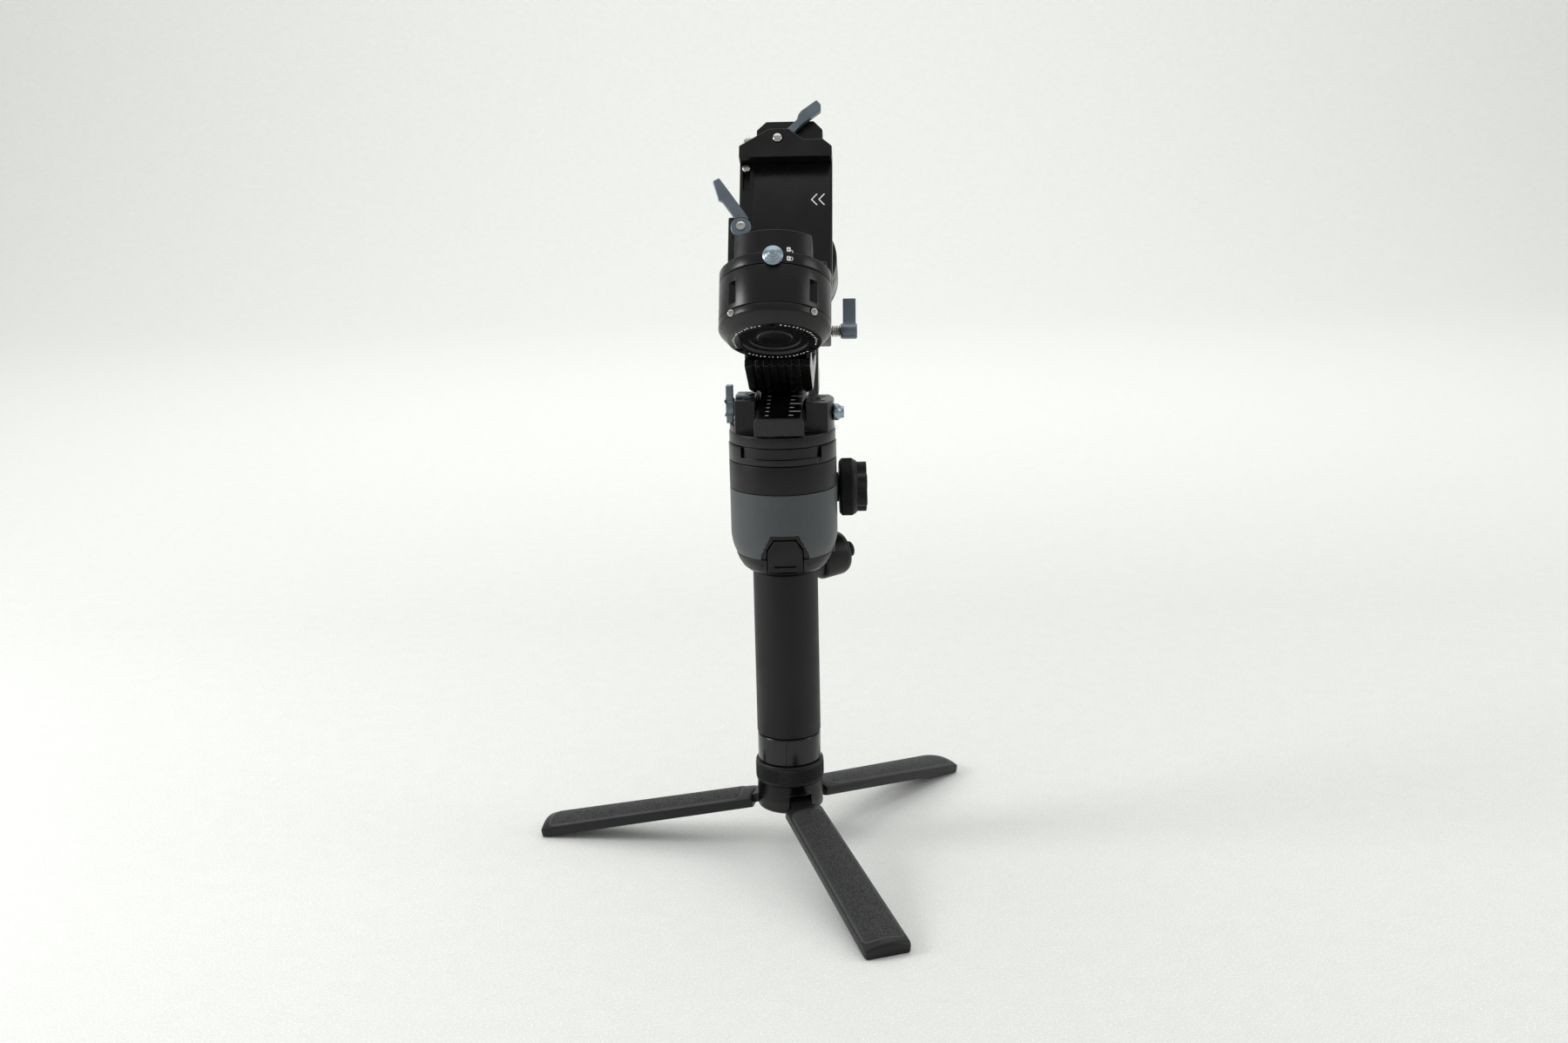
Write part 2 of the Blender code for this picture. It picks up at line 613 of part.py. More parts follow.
def make_pan(surfaces, pan):
    """Stator ring on the body, rotor with its two clamp towers, arm, lever and lock pin."""
    low = BODY_TOP + GAP
    inner = MOTOR_R - CUP_WALL
    base = [(0, low), (BODY_R, low), (BODY_R, PAN_GAP_Z - 0.6), (BODY_R - 0.6, PAN_GAP_Z - 0.1),
            (inner, PAN_GAP_Z - 0.1), (inner, low + 1.6), (0, low + 1.6)]
    ring = finish("pan_housing", lathe_mesh(base), surfaces["satin"])
    cut(ring, box_mesh((-24.0, -40.0, low + 3.6), (22.0, -29.9, PAN_GAP_Z + 1)))
    cut(ring, box_mesh((-20.6, REAR_BACK_Y - 6.4, low - 1), (23.0, 60, PAN_GAP_Z + 1)))
    motor_core("pan_core", low + 2.0, PAN_GAP_Z - 1.0, surfaces, None)
    rotor = finish("pan_rotor", lathe_mesh(rotor_profile(PAN_GAP_Z + GAP, low + 2.4)), surfaces["satin"], pan)
    disc_top = PAN_GAP_Z + GAP + ROTOR_T
    half = PAN_ARM_W / 2 + GAP
    add(rotor, prism_mesh(segment(-half, math.radians(32.0)), disc_top - 2.0, PAN_TOWER_LEFT), pan)
    add(rotor, prism_mesh(segment(half, math.radians(28.0)), disc_top - 2.0, PAN_TOWER_RIGHT), pan)
    cut(rotor, box_mesh((-40.0, -20.0, disc_top + 4.0), (-26.5, 20.0, 290.0)), pan)
    arm = make_pan_arm(surfaces, pan, rotor)
    make_pan_lever(surfaces, pan)
    make_pan_pin(surfaces, pan, rotor)
    return arm


def make_pan_arm(surfaces, pan, rotor):
    """The sliding arm: a bar sloping up and back, with a riser to the roll motor."""
    slope = frame("pan_arm_slope", (0, 0, 279.8), (PAN_ARM_SLOPE, 0, 0), pan)
    half = PAN_ARM_W / 2
    section = [(-half, -PAN_ARM_T), (half, -PAN_ARM_T), (half, -2.2), (half - 1.8, 0.0),
               (-half + 1.8, 0.0), (-half, -2.2)]
    bar = prism_mesh(section, -PAN_ARM_BACK, -PAN_ARM_FRONT)
    arm = finish("pan_arm", bar, surfaces["gloss"], slope, turn=FACING_FRONT)
    wide = half + GAP
    deep = PAN_ARM_T + GAP
    channel = [(-wide, -deep), (wide, -deep), (wide, 9.0), (-wide, 9.0)]
    cut(rotor, prism_mesh(channel, -60, 60), slope, turn=FACING_FRONT)
    return arm


def add_riser(arm, pan, gimbal):
    """Join the riser that carries the roll motor housing to the back of the pan arm."""
    side = [(RISER_FRONT, RISER_BOTTOM), (RISER_BACK - 12.0, RISER_BOTTOM), (RISER_BACK, RISER_BOTTOM + 26.0),
            (RISER_BACK, RISER_BOTTOM + 62.0), (RISER_FRONT + 10.0, RISER_BOTTOM + 62.0),
            (RISER_FRONT, 300.0)]
    sections = []
    half = RISER_W / 2
    for x, inset in ((-half, 1.0), (-half + 1.0, 0.0), (half - 1.0, 0.0), (half, 1.0)):
        sections.append([(x, y, z) for y, z in shrink(side, inset)])
    add(arm, loft_mesh(sections), pan)
    cup_low = ROLL_DISC_Y + ROTOR_T + GAP
    cup_high = cup_low + ROLL_CUP_L
    fit = [(0, -170), (MOTOR_R + GAP, -170), (MOTOR_R + GAP, -cup_low - GAP), (MOTOR_R + 8, -cup_low - GAP),
           (MOTOR_R + 8, -60), (0, -60)]
    cut(arm, lathe_mesh(fit, 56), gimbal, turn=FACING_FRONT)
    cut(arm, box_mesh((-40, cup_high - 1.0, -60), (40, 200, 40)), gimbal)


def make_pan_lever(surfaces, pan):
    """The clamp lever on the left tower, on a cross axis."""
    axis = frame("pan_lever_axis", (-26.8, -5.0, 275.6), ALONG_X, pan)
    outline = disc(5.4, (0.0, 0.0), 16)
    lever = finish("pan_arm_lever", prism_mesh(outline, -4.9, -0.3), surfaces["alloy"], axis)
    add(lever, box_mesh((-12.8, -3.2, -4.9), (2.0, 3.2, -0.9), 0.6), axis)
    return lever


def make_pan_pin(surfaces, pan, rotor):
    """The pull pin that locks the pan axis, on the right."""
    axis = frame("pan_lock_axis", (29.6, -3.0, 271.6), ALONG_X, pan)
    cut(rotor, prism_mesh(disc(2.2), -8.0, 10.0), axis)
    pin = [(0, -5.0), (1.8, -5.0), (1.8, 1.0), (4.9, 1.0), (4.9, 3.0), (3.9, 4.4), (3.3, 6.6), (0, 6.6)]
    return finish("pan_lock_pin", lathe_mesh(pin, SMALL_SEGMENTS), surfaces["blue_alloy"], axis)


# ---------------------------------------------------------------- roll

def make_roll(surfaces, gimbal):
    """Roll motor on the pan arm, rotor with its clamp, sliding arm and T-knob."""
    disc_back = ROLL_DISC_Y + ROTOR_T
    cup_low = disc_back + GAP
    cup_high = cup_low + ROLL_CUP_L
    motor_cup("roll_housing", -cup_high, -cup_low, surfaces, gimbal, FACING_FRONT)
    motor_core("roll_core", -cup_high + 3.0, -cup_low - 1.5, surfaces, gimbal, FACING_FRONT)
    cap_low = cup_high + GAP
    cap_high = cap_low + ROLL_CAP_L
    cap = [(0, -cap_high), (25.0, -cap_high), (MOTOR_R, -cap_low - 2.0), (MOTOR_R, -cap_low), (0, -cap_low)]
    finish("roll_cap", lathe_mesh(cap), surfaces["satin"], gimbal, turn=FACING_FRONT)
    profile = rotor_profile(-disc_back, -cup_high + 3.2)
    rotor = finish("roll_rotor", lathe_mesh(profile), surfaces["satin"], gimbal, turn=FACING_FRONT)
    add(rotor, box_mesh((-27.6, 92.6, ROLL_CLAMP_LOW), (27.6, ROLL_DISC_Y + 2.0, -30.0), 1.5), gimbal)
    half = ROLL_ARM_W / 2
    back = ROLL_ARM_Y + ROLL_ARM_T
    slot = box_mesh((-half - GAP, ROLL_ARM_Y - GAP, -90), (half + GAP, back + GAP, -10))
    cut(rotor, slot, gimbal)
    inner = ELBOW_BOTTOM + ELBOW_T
    side = [(28.0, ELBOW_BOTTOM), (ELBOW_BEND_Y, ELBOW_BOTTOM), (back, ELBOW_BEND_TOP), (back, ROLL_ARM_TOP),
            (ROLL_ARM_Y, ROLL_ARM_TOP), (ROLL_ARM_Y, ELBOW_BEND_TOP + 3.0), (ELBOW_BEND_Y - 2.0, inner),
            (40.0, inner), (40.0, -70.8), (24.0, -70.8), (24.0, -99.0)]
    sections = []
    for x, inset in ((-half, 0.9), (-half + 0.9, 0.0), (half - 0.9, 0.0), (half, 0.9)):
        sections.append([(x, y, z) for y, z in shrink(side, inset)])
    arm = finish("roll_arm", loft_mesh(sections), surfaces["satin"], gimbal)
    seat = TILT_CAP_FACE - GAP
    under_cap = [(0, seat), (MOTOR_R + GAP, seat), (MOTOR_R + GAP, -20), (0, -20)]
    cut(arm, lathe_mesh(under_cap), gimbal)
    rib_count = 7
    pitch = (ROLL_ARM_W - 5.0) / rib_count
    for k in range(rib_count):
        x = -half + 2.5 + pitch * (k + 0.5)
        far = ELBOW_BEND_Y - 4.0
        groove = box_mesh((x - 1.1, 30.0, ELBOW_BOTTOM - 1), (x + 1.1, far, ELBOW_BOTTOM + 1.0))
        cut(arm, groove, gimbal)
    axis = frame("roll_knob_axis", (27.6 + GAP, 100.6, -52.5), ALONG_X, gimbal)
    cut(rotor, prism_mesh(disc(2.6), -12.0, 4.0), axis)
    knob = [(0, -8.0), (2.2, -8.0), (2.2, 5.6), (4.6, 6.4), (4.6, 15.6), (0, 15.6)]
    t_knob = finish("roll_arm_knob", lathe_mesh(knob, SMALL_SEGMENTS), surfaces["alloy"], axis)
    add(t_knob, box_mesh((-20.0, -2.2, 7.0), (0.0, 2.2, 14.8), 0.8), axis)
    return arm


# ---------------------------------------------------------------- tilt

def make_tilt(surfaces, gimbal):
    """Tilt motor with its cap, stop screws, rotor tower, lock knob, platform and its lever."""
    cup_high = TILT_DISC_TOP - ROTOR_T - GAP
    cup = motor_cup("tilt_housing", TILT_CUP_BOTTOM, cup_high, surfaces, gimbal)
    motor_core("tilt_core", TILT_CUP_BOTTOM + 3.0, cup_high - 1.5, surfaces, gimbal)
    cap_top = TILT_CUP_BOTTOM - GAP
    cap = [(0, TILT_CAP_FACE + 1.2), (18.0, TILT_CAP_FACE + 1.2), (18.8, TILT_CAP_FACE),
           (TILT_CAP_FACE_R, TILT_CAP_FACE), (MOTOR_R, TILT_CAP_FACE + 6.0), (MOTOR_R, cap_top), (0, cap_top)]
    lid = finish("tilt_cap", lathe_mesh(cap), surfaces["satin"], gimbal)
    for side, name in ((-1, "left"), (1, "right")):
        x = 22.3 * side
        cut(cup, box_mesh((x - 2.2, -40, TILT_CUP_BOTTOM + 3.0), (x + 2.2, -19.6, cup_high - 6.5)), gimbal)
        spot = (x, 0, STOP_SCREW_Z)
        cut(lid, prism_mesh(disc(STOP_SCREW_R + GAP), 19.6, 40.0), gimbal, at=spot, turn=FACING_FRONT)
        profile = [(0, 19.9), (STOP_SCREW_R, 19.9), (STOP_SCREW_R, 22.6), (0, 22.6)]
        finish(f"tilt_stop_screw_{name}", lathe_mesh(profile, 16), surfaces["steel"], gimbal,
               at=spot, turn=FACING_FRONT)
    profile = rotor_profile(TILT_DISC_TOP - ROTOR_T, TILT_CUP_BOTTOM + 3.2)
    rotor = finish("tilt_rotor", lathe_mesh(profile), surfaces["satin"], gimbal)
    tower = [(-TOWER_W / 2, 12.0), (TOWER_W / 2, 12.0)]
    half_angle = math.asin(TOWER_W / 2 / (MOTOR_R - 0.3))
    for k in range(9):
        angle = -math.pi / 2 + half_angle * (1 - 2 * k / 8)
        tower.append(((MOTOR_R - 0.3) * math.cos(angle), (MOTOR_R - 0.3) * math.sin(angle)))
    add(rotor, prism_mesh(tower, TILT_DISC_TOP - 2.0, TOWER_TOP), gimbal)
    rail = box_mesh((-26.9, 6.0, TILT_DISC_TOP - 1.5), (28.0, 18.4, -50.0), 1.0)
    add(rotor, rail, gimbal)
    clamp = box_mesh((-27.3, 6.0, TILT_DISC_TOP - 1.0), (-15.0, 18.4, -22.0), 1.2)
    add(rotor, clamp, gimbal)
    cut(rotor, dovetail(-60.0, 60.0, GAP), gimbal)
    knob_axis = frame("tilt_lock_axis", (0.6, -MOTOR_R, -64.4), FACING_FRONT, gimbal)
    cut(rotor, prism_mesh(disc(2.6), -12.0, 4.0), knob_axis)
    pin = [(0, -9.0), (2.2, -9.0), (2.2, 0.8), (5.6, 0.8), (5.6, 2.4), (4.0, 4.0), (3.2, 5.8), (0, 5.8)]
    finish("tilt_lock_knob", lathe_mesh(pin, SMALL_SEGMENTS), surfaces["blue_alloy"], knob_axis)
    make_platform(surfaces, gimbal)
    make_tilt_lever(surfaces, gimbal)


def dovetail(left, right, gap):
    """The tongue under the camera platform, or its groove when gap is given; it runs along X."""
    side = [(PLATE_FRONT_Y + 0.5, -53.4 + gap), (14.4 - gap, -52.0 + gap), (14.4 - gap, -57.2 - gap),
            (PLATE_FRONT_Y + 0.5, -55.8 - gap)]
    return loft_mesh([[(x, y, z) for y, z in side] for x in (left, right)])


def make_platform(surfaces, gimbal):
    """Camera bed plate with the foot that slides in the tilt rotor's clamp."""
    left = PLATE_X - PLATE_W / 2
    right = PLATE_X + PLATE_W / 2
    back = PLATE_FRONT_Y + PLATE_T
    slab = box_mesh((left, PLATE_FRONT_Y, PLATE_BOTTOM), (right, back, PLATE_TOP), 0.8)
    plate = finish("camera_platform", slab, surfaces["satin"], gimbal)
    add(plate, dovetail(left + 1.5, right - 1.5, 0.0), gimbal)
    land_y = PLATE_FRONT_Y - BED_LAND
    add(plate, box_mesh((-14.4, land_y, -49.0), (right - 1.0, land_y + 1.3, 17.2)), gimbal)
    cut(plate, prism_mesh(rounded(3.8, 16.0, 1.8, (-18.6, 9.0)), -60, 60), gimbal, turn=FACING_FRONT)
    pin = [(0, -back - 1.0), (1.4, -back - 1.0), (1.4, -PLATE_FRONT_Y + GAP), (2.3, -PLATE_FRONT_Y + GAP),
           (2.3, -PLATE_FRONT_Y + 2.6), (0, -PLATE_FRONT_Y + 2.6)]
    finish("safety_pin", lathe_mesh(pin, 16), surfaces["steel"], gimbal, at=(-18.6, 0, 14.6),
           turn=FACING_FRONT)
    make_quick_release(surfaces, gimbal, left, right)


def make_quick_release(surfaces, gimbal, left, right):
    """Jaw block on the bed's far end, sliding rear jaw, lever and its pivot pin."""
    front = PLATE_FRONT_Y - GAP
    x, z = RELEASE_PIVOT
    outline = [(left, 18.0), (right, 18.0), (right, 24.5), (right - 5.0, 29.0), (15.0, 29.0), (10.0, 32.6),
               (6.0, 36.0), (-5.6, 36.0), (left, 25.5)]
    solid = prism_mesh(outline, -front, -11.0)
    block = finish("release_block", solid, surfaces["satin"], gimbal, turn=FACING_FRONT)
    cut(block, prism_mesh(disc(2.8 + GAP), -60, 0), gimbal, at=(x, 0, z), turn=FACING_FRONT)
    back = PLATE_FRONT_Y + PLATE_T + GAP
    jaw_outline = [(-13.5, 12.0), (25.0, 12.0), (25.0, 43.5), (19.8, 49.2), (-8.0, 49.2), (-13.5, 43.8)]
    jaw = finish("release_jaw", prism_mesh(jaw_outline, -back - 7.0, -back), surfaces["satin"], gimbal,
                 turn=FACING_FRONT)
    cut(jaw, prism_mesh(rounded(6.4, 9.6, 3.1), -60, 0), gimbal, at=(x, 0, z - 1.0), turn=FACING_FRONT)
    axis = frame("release_lever_axis", (x, back - GAP - 0.4, z), FACING_FRONT, gimbal)
    lever = finish("release_lever", prism_mesh(disc(5.2), 0.0, 5.2), surfaces["alloy"], axis)
    blade = [(4.4, -1.5), (9.1, 9.4), (14.4, 14.9), (24.5, 22.8), (24.5, 26.9), (22.0, 29.8),
             (12.9, 22.8), (11.4, 20.4), (10.6, 17.3), (3.9, 10.2), (-3.2, 3.0)]
    add(lever, prism_mesh(blade, 0.7, 4.6), axis)
    cut(lever, prism_mesh(disc(2.8 + GAP), -10, 20), axis)
    pin = [(0, -back - 6.6), (2.8, -back - 6.6), (2.8, -10.2), (0, -10.2)]
    finish("release_pivot", lathe_mesh(pin, SMALL_SEGMENTS), surfaces["steel"], gimbal, at=(x, 0, z),
           turn=FACING_FRONT)


def make_tilt_lever(surfaces, gimbal):
    """The blue-grey clamp lever beside the platform."""
    axis = frame("tilt_lever_axis", (-19.8, 6.0 - GAP, -30.0), FACING_FRONT, gimbal)
    lever = finish("tilt_arm_lever", prism_mesh(disc(5.8), 0.0, 4.2), surfaces["alloy"], axis)
    blade = [(4.9, 2.9), (3.6, 6.5), (-11.4, 28.6), (-12.8, 30.6), (-16.5, 28.6), (-13.1, 17.2),
             (-10.6, 15.6), (-3.3, 4.9), (-5.2, 2.0)]
    add(lever, prism_mesh(blade, 0.6, 3.8), axis)
    return lever


# ---------------------------------------------------------------- whole part

def make_surfaces():
    """Every material by its slot name."""
    return {
        "satin": material("satin_black_alloy", "1f1f20", 0.42, 0.6),
        "gloss": material("gloss_black_alloy", "141416", 0.22, 0.5),
        "core": material("matte_black_plastic", "1b1b1c", 0.6, 0.0),
        "slate": material("slate_grey_plastic", "4a4e50", 0.5, 0.0),
        "rubber": material("black_soft_rubber", "262728", 0.8, 0.0),
        "leg": material("black_leg_plastic", "27282a", 0.5, 0.0),
        "grain": material("grained_rubber", "37383a", 0.75, 0.0),
        "alloy": material("blue_grey_alloy", "7c878d", 0.35, 0.9),
        "blue_alloy": material("steel_blue_alloy", "98a7b0", 0.3, 0.9),
        "steel": material("stainless_steel", "b9bbbc", 0.28, 1.0),
        "glass": material("dark_glass", "08090b", 0.08, 0.0),
        "copper": material("enamelled_copper", "9a5a34", 0.4, 0.8),
        "board": material("green_board", "1f4d33", 0.5, 0.0),
        "cell": material("cell_wrap", "2e5f8a", 0.45, 0.0),
    }


def stand_on_origin(root):
    """Shift the whole part so that the middle of its footprint is the origin, on the floor."""
    view = bpy.context.evaluated_depsgraph_get()
    low = Vector((1e9, 1e9, 1e9))
    high = -low
    for item in bpy.data.objects:
        if item.type != "MESH" or item.hide_render:
            continue
        solid = item.evaluated_get(view)
        for vertex in solid.data.vertices:
            point = solid.matrix_world @ vertex.co
            low = Vector(map(min, low, point))
            high = Vector(map(max, high, point))
    root.location = (-(low.x + high.x) / 2, -(low.y + high.y) / 2, -low.z)


def build():
    """Model every piece in its place."""
    clear_scene()
    surfaces = make_surfaces()
    root = frame(ROOT_NAME, (0, 0, 0), (0, 0, 0))
    pan = frame("pan_axis", (0, 0, 0), (0, 0, PAN_YAW))
    gimbal = frame("gimbal_centre", (0, 0, CENTRE_Z), (GIMBAL_TILT, 0, 0), pan)
    make_tripod(surfaces)
    make_handle(surfaces)
    make_body(surfaces)
    arm = make_pan(surfaces, pan)
    add_riser(arm, pan, gimbal)
    make_roll(surfaces, gimbal)
    make_tilt(surfaces, gimbal)
    stand_on_origin(root)


build()
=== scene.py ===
"""Looks of a three-axis camera stabiliser that stands on a folding desk tripod.

Shapes are drawn in millimetres in a work frame (handle, leg, pan, gimbal) and then placed in metres.
The handle's centre line is vertical, the trigger side faces -Y.  The gimbal frame has its Z up the
tilt axis and its Y back along the roll axis.
"""

import json
import math

import bmesh
import bpy
from mathutils import Matrix, Vector


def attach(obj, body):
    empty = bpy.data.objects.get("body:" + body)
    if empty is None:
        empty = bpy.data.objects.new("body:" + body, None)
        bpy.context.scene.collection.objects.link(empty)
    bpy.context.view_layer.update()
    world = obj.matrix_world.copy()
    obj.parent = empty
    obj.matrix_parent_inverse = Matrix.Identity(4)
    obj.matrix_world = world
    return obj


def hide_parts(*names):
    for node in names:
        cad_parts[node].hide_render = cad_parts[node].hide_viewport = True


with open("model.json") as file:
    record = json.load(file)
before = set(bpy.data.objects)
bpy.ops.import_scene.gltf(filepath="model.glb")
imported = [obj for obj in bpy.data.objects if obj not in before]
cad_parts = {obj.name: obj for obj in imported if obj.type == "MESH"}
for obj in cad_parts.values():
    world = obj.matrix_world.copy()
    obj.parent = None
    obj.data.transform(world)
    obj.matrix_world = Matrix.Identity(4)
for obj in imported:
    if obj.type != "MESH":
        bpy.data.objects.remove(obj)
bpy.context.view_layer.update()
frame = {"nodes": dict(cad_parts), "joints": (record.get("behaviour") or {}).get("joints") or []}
NODES = frame["nodes"]
JOINTS = {joint["name"]: joint for joint in frame["joints"]}
for plain in list(bpy.data.materials):
    bpy.data.materials.remove(plain)
MM = 0.001
STEPS = 112
SMALL_STEPS = 40

# Work frames, in millimetres
TRIGGER_HINGE = Vector((0.0, -21.0, 200.0))
HANDLE = Matrix.Translation(Vector(JOINTS["trigger_pull"]["pos_m"]) / MM - TRIGGER_HINGE)
PAN = HANDLE @ Matrix.Rotation(math.radians(-3.3), 4, "Z")
GIMBAL = PAN @ Matrix.Translation((0, 0, 406.4)) @ Matrix.Rotation(math.radians(-30.85), 4, "X")
FRONT = Matrix.Rotation(math.pi / 2, 4, "X")
ALONG_X = Matrix.Rotation(math.pi / 2, 4, "Y")
FLAT = Matrix.Identity(4)
# Takes an outline in X and Y to one in Y and Z, drawn out along X
SWEEP = Matrix(((0, 0, 1, 0), (1, 0, 0, 0), (0, 1, 0, 0), (0, 0, 0, 1)))

GAP = 0.3
HUB_R = 19.9
RING_R = 20.7
GRIP_R = 19.2
BODY_R = 31.4
BAND_BOTTOM = 228.7
SHELL_BOTTOM = 184.5
MOTOR_R = 31.0
LEG_START = 10.0
LEG_END = 148.0
TILT_LOCK = (0.6, -31.0, -64.4)
ROLL_KNOB = (27.9, 100.6, -52.5)


def at(base, x, y, z, turn=FLAT):
    """A work frame moved along its own axes and then turned."""
    return base @ Matrix.Translation((x, y, z)) @ turn


# ---------------------------------------------------------------- finishes

def lin(code):
    """A six-digit sRGB hex colour as linear channel values with full alpha."""
    channels = []
    for start in (0, 2, 4):
        value = int(code[start:start + 2], 16) / 255.0
        channels.append(value / 12.92 if value <= 0.04045 else ((value + 0.055) / 1.055) ** 2.4)
    return (*channels, 1.0)


def node(tree, kind, settings):
    """Add a shader node: attributes first, then each input as a link or a value."""
    made = tree.nodes.new("ShaderNode" + kind)
    for key, value in settings.items():
        if isinstance(key, str) and key[0].islower():
            setattr(made, key, value)
        elif isinstance(value, bpy.types.NodeSocket):
            tree.links.new(value, made.inputs[key])
        else:
            made.inputs[key].default_value = value
    return made


def ramp(tree, source, low, high, to_low=0.0, to_high=1.0):
    """A value eased from one range to another."""
    settings = {"interpolation_type": "SMOOTHSTEP", "Value": source, "From Min": low, "From Max": high,
                "To Min": to_low, "To Max": to_high}
    return node(tree, "MapRange", settings).outputs["Result"]


def blend(tree, factor, first, second):
    """Two colours mixed by a factor."""
    settings = {"data_type": "RGBA", 0: factor, 6: first, 7: second}
    return node(tree, "Mix", settings).outputs[2]


def shade(code, amount):
    """A linear colour made darker or lighter by a share."""
    red, green, blue, alpha = lin(code)
    return (red * amount, green * amount, blue * amount, alpha)


class Finish:
    """A material with drifting roughness, faint mottling and a fine grain, ready for more layers."""

    def __init__(self, name, code, rough, metallic=0.0, grain=0.25, depth=0.004, mottle=0.12,
                 drift=0.05, coat=0.0):
        self.material = bpy.data.materials.new(name)
        self.material.use_nodes = True
        self.tree = self.material.node_tree
        self.shader = self.tree.nodes["Principled BSDF"]
        self.shader.inputs["Metallic"].default_value = metallic
        self.shader.inputs["Coat Weight"].default_value = coat
        self.shader.inputs["Coat Roughness"].default_value = 0.12
        self.place = node(self.tree, "TexCoord", {}).outputs["Object"]
        broad = self.noise(14.0, 3.0)
        fine = self.noise(grain, 2.0)
        colour = blend(self.tree, ramp(self.tree, broad, 0.3, 0.7), shade(code, 1 - mottle), shade(code,
                1 + mottle))
        self.colour(blend(self.tree, ramp(self.tree, fine, 0.45, 0.75, 0.0, 0.5), colour, shade(code, 1.35)))
        self.rough(ramp(self.tree, broad, 0.25, 0.75, rough - drift, rough + drift))
        self.normal = None
        self.emboss(fine, depth)

    def noise(self, size, detail, stretch=None):
        """Noise whose features are about size millimetres."""
        source = self.place
        if stretch is not None:
            source = node(self.tree, "Mapping", {"Vector": source, "Scale": stretch}).outputs[0]
        settings = {"Vector": source, "Scale": 1.0 / (size * MM), "Detail": detail}
        return node(self.tree, "TexNoise", settings).outputs["Fac"]

    def colour(self, socket):
        self.tree.links.new(socket, self.shader.inputs["Base Color"])
        self.base = socket

    def rough(self, socket):
        self.tree.links.new(socket, self.shader.inputs["Roughness"])
        self.roughness = socket

    def emboss(self, height, depth):
        """Add a height layer that is depth millimetres deep on top of the layers before it."""
        settings = {"Height": height, "Strength": 1.0, "Distance": depth * MM}
        if self.normal is not None:
            settings["Normal"] = self.normal
        self.normal = node(self.tree, "Bump", settings).outputs["Normal"]
        self.tree.links.new(self.normal, self.shader.inputs["Normal"])


def make_leather():
    """Dark moulded rubber with a hide grain, a smooth rim and a fine groove inside the rim; painted shade
    darkens the grain's creases and the groove.
    """
    made = Finish("grained_rubber", "3c3c3d", 0.6, grain=0.2, depth=0.004)
    tree = made.tree
    wobble = node(tree, "TexNoise", {"Vector": made.place, "Scale": 900.0, "Detail": 1.0}).outputs["Color"]
    warp = {"operation": "MULTIPLY_ADD", 0: wobble, 1: (0.0009, 0.0009, 0.0009), 2: made.place}
    bent = node(tree, "VectorMath", warp).outputs[0]
    cells = node(tree, "TexVoronoi", {"feature": "DISTANCE_TO_EDGE", "Vector": bent, "Scale": 1050.0})
    wide = node(tree, "TexVoronoi", {"feature": "DISTANCE_TO_EDGE", "Vector": bent, "Scale": 520.0})
    rim = node(tree, "SeparateXYZ", {"Vector": node(tree, "UVMap", {}).outputs[0]})
    edges = []
    for socket, length in ((rim.outputs[0], 130.0), (rim.outputs[1], 23.0)):
        middle = node(tree, "Math", {"operation": "SUBTRACT", 0: socket, 1: 0.5}).outputs[0]
        away = node(tree, "Math", {"operation": "ABSOLUTE", 0: middle}).outputs[0]
        near = node(tree, "Math", {"operation": "SUBTRACT", 0: 0.5, 1: away}).outputs[0]
        edges.append(node(tree, "Math", {"operation": "MULTIPLY", 0: near, 1: length}).outputs[0])
    inward = node(tree, "Math", {"operation": "MINIMUM", 0: edges[0], 1: edges[1]}).outputs[0]
    field = ramp(tree, inward, 1.5, 1.9)
    from_line = node(tree, "Math", {"operation": "SUBTRACT", 0: inward, 1: 1.35}).outputs[0]
    line = ramp(tree, node(tree, "Math", {"operation": "ABSOLUTE", 0: from_line}).outputs[0], 0.1, 0.3)
    plateau = ramp(tree, cells.outputs["Distance"], 0.0, 0.22)
    fold = ramp(tree, wide.outputs["Distance"], 0.0, 0.12)
    hide = node(tree, "Math", {"operation": "MULTIPLY", 0: plateau, 1: fold}).outputs[0]
    grain = node(tree, "Mix", {"data_type": "FLOAT", 0: field, 2: 1.0, 3: hide}).outputs[0]
    made.emboss(grain, 0.09)
    made.emboss(line, 0.25)
    # Painted shade: darker colour in the creases between the grain's cells, where the bump sits low.
    dark = blend(tree, ramp(tree, grain, 0.0, 0.8), lin("1d1d1e"), made.base)
    # Painted shade: the groove inside the rim is coloured near black where the bump sinks it.
    made.colour(blend(tree, line, lin("0e0e0e"), dark))
    made.rough(ramp(tree, grain, 0.0, 1.0, 0.8, 0.52))
    return made.material


def make_copper():
    """Enamelled copper wire wound in a tight ring: copper-coloured ridges, with painted shade darkening the
    gaps between turns.
    """
    made = Finish("enamelled_copper", "a4562c", 0.34, metallic=0.9, grain=0.5, depth=0.004)
    wave = {"wave_type": "BANDS", "Vector": made.place, "Scale": 420.0, "Distortion": 1.5, "Detail": 1.0}
    turns = node(made.tree, "TexWave", wave).outputs["Fac"]
    # Painted shade: dark brown in the low bands between the wire's turns.
    made.colour(blend(made.tree, ramp(made.tree, turns, 0.0, 0.5), lin("3a1a0c"), made.base))
    made.emboss(turns, 0.12)
    return made.material


def make_board():
    """Green solder mask over copper tracks, with a few pale component blocks."""
    made = Finish("green_board", "1f5a36", 0.38, grain=0.3, depth=0.003)
    cells = {"feature": "F1", "distance": "CHEBYCHEV", "Vector": made.place, "Scale": 330.0}
    tile = node(made.tree, "TexVoronoi", cells)
    bright = ramp(made.tree, tile.outputs["Distance"], 0.22, 0.24, 1.0, 0.0)
    made.colour(blend(made.tree, bright, made.base, lin("b9b4a0")))
    made.emboss(bright, 0.1)
    return made.material


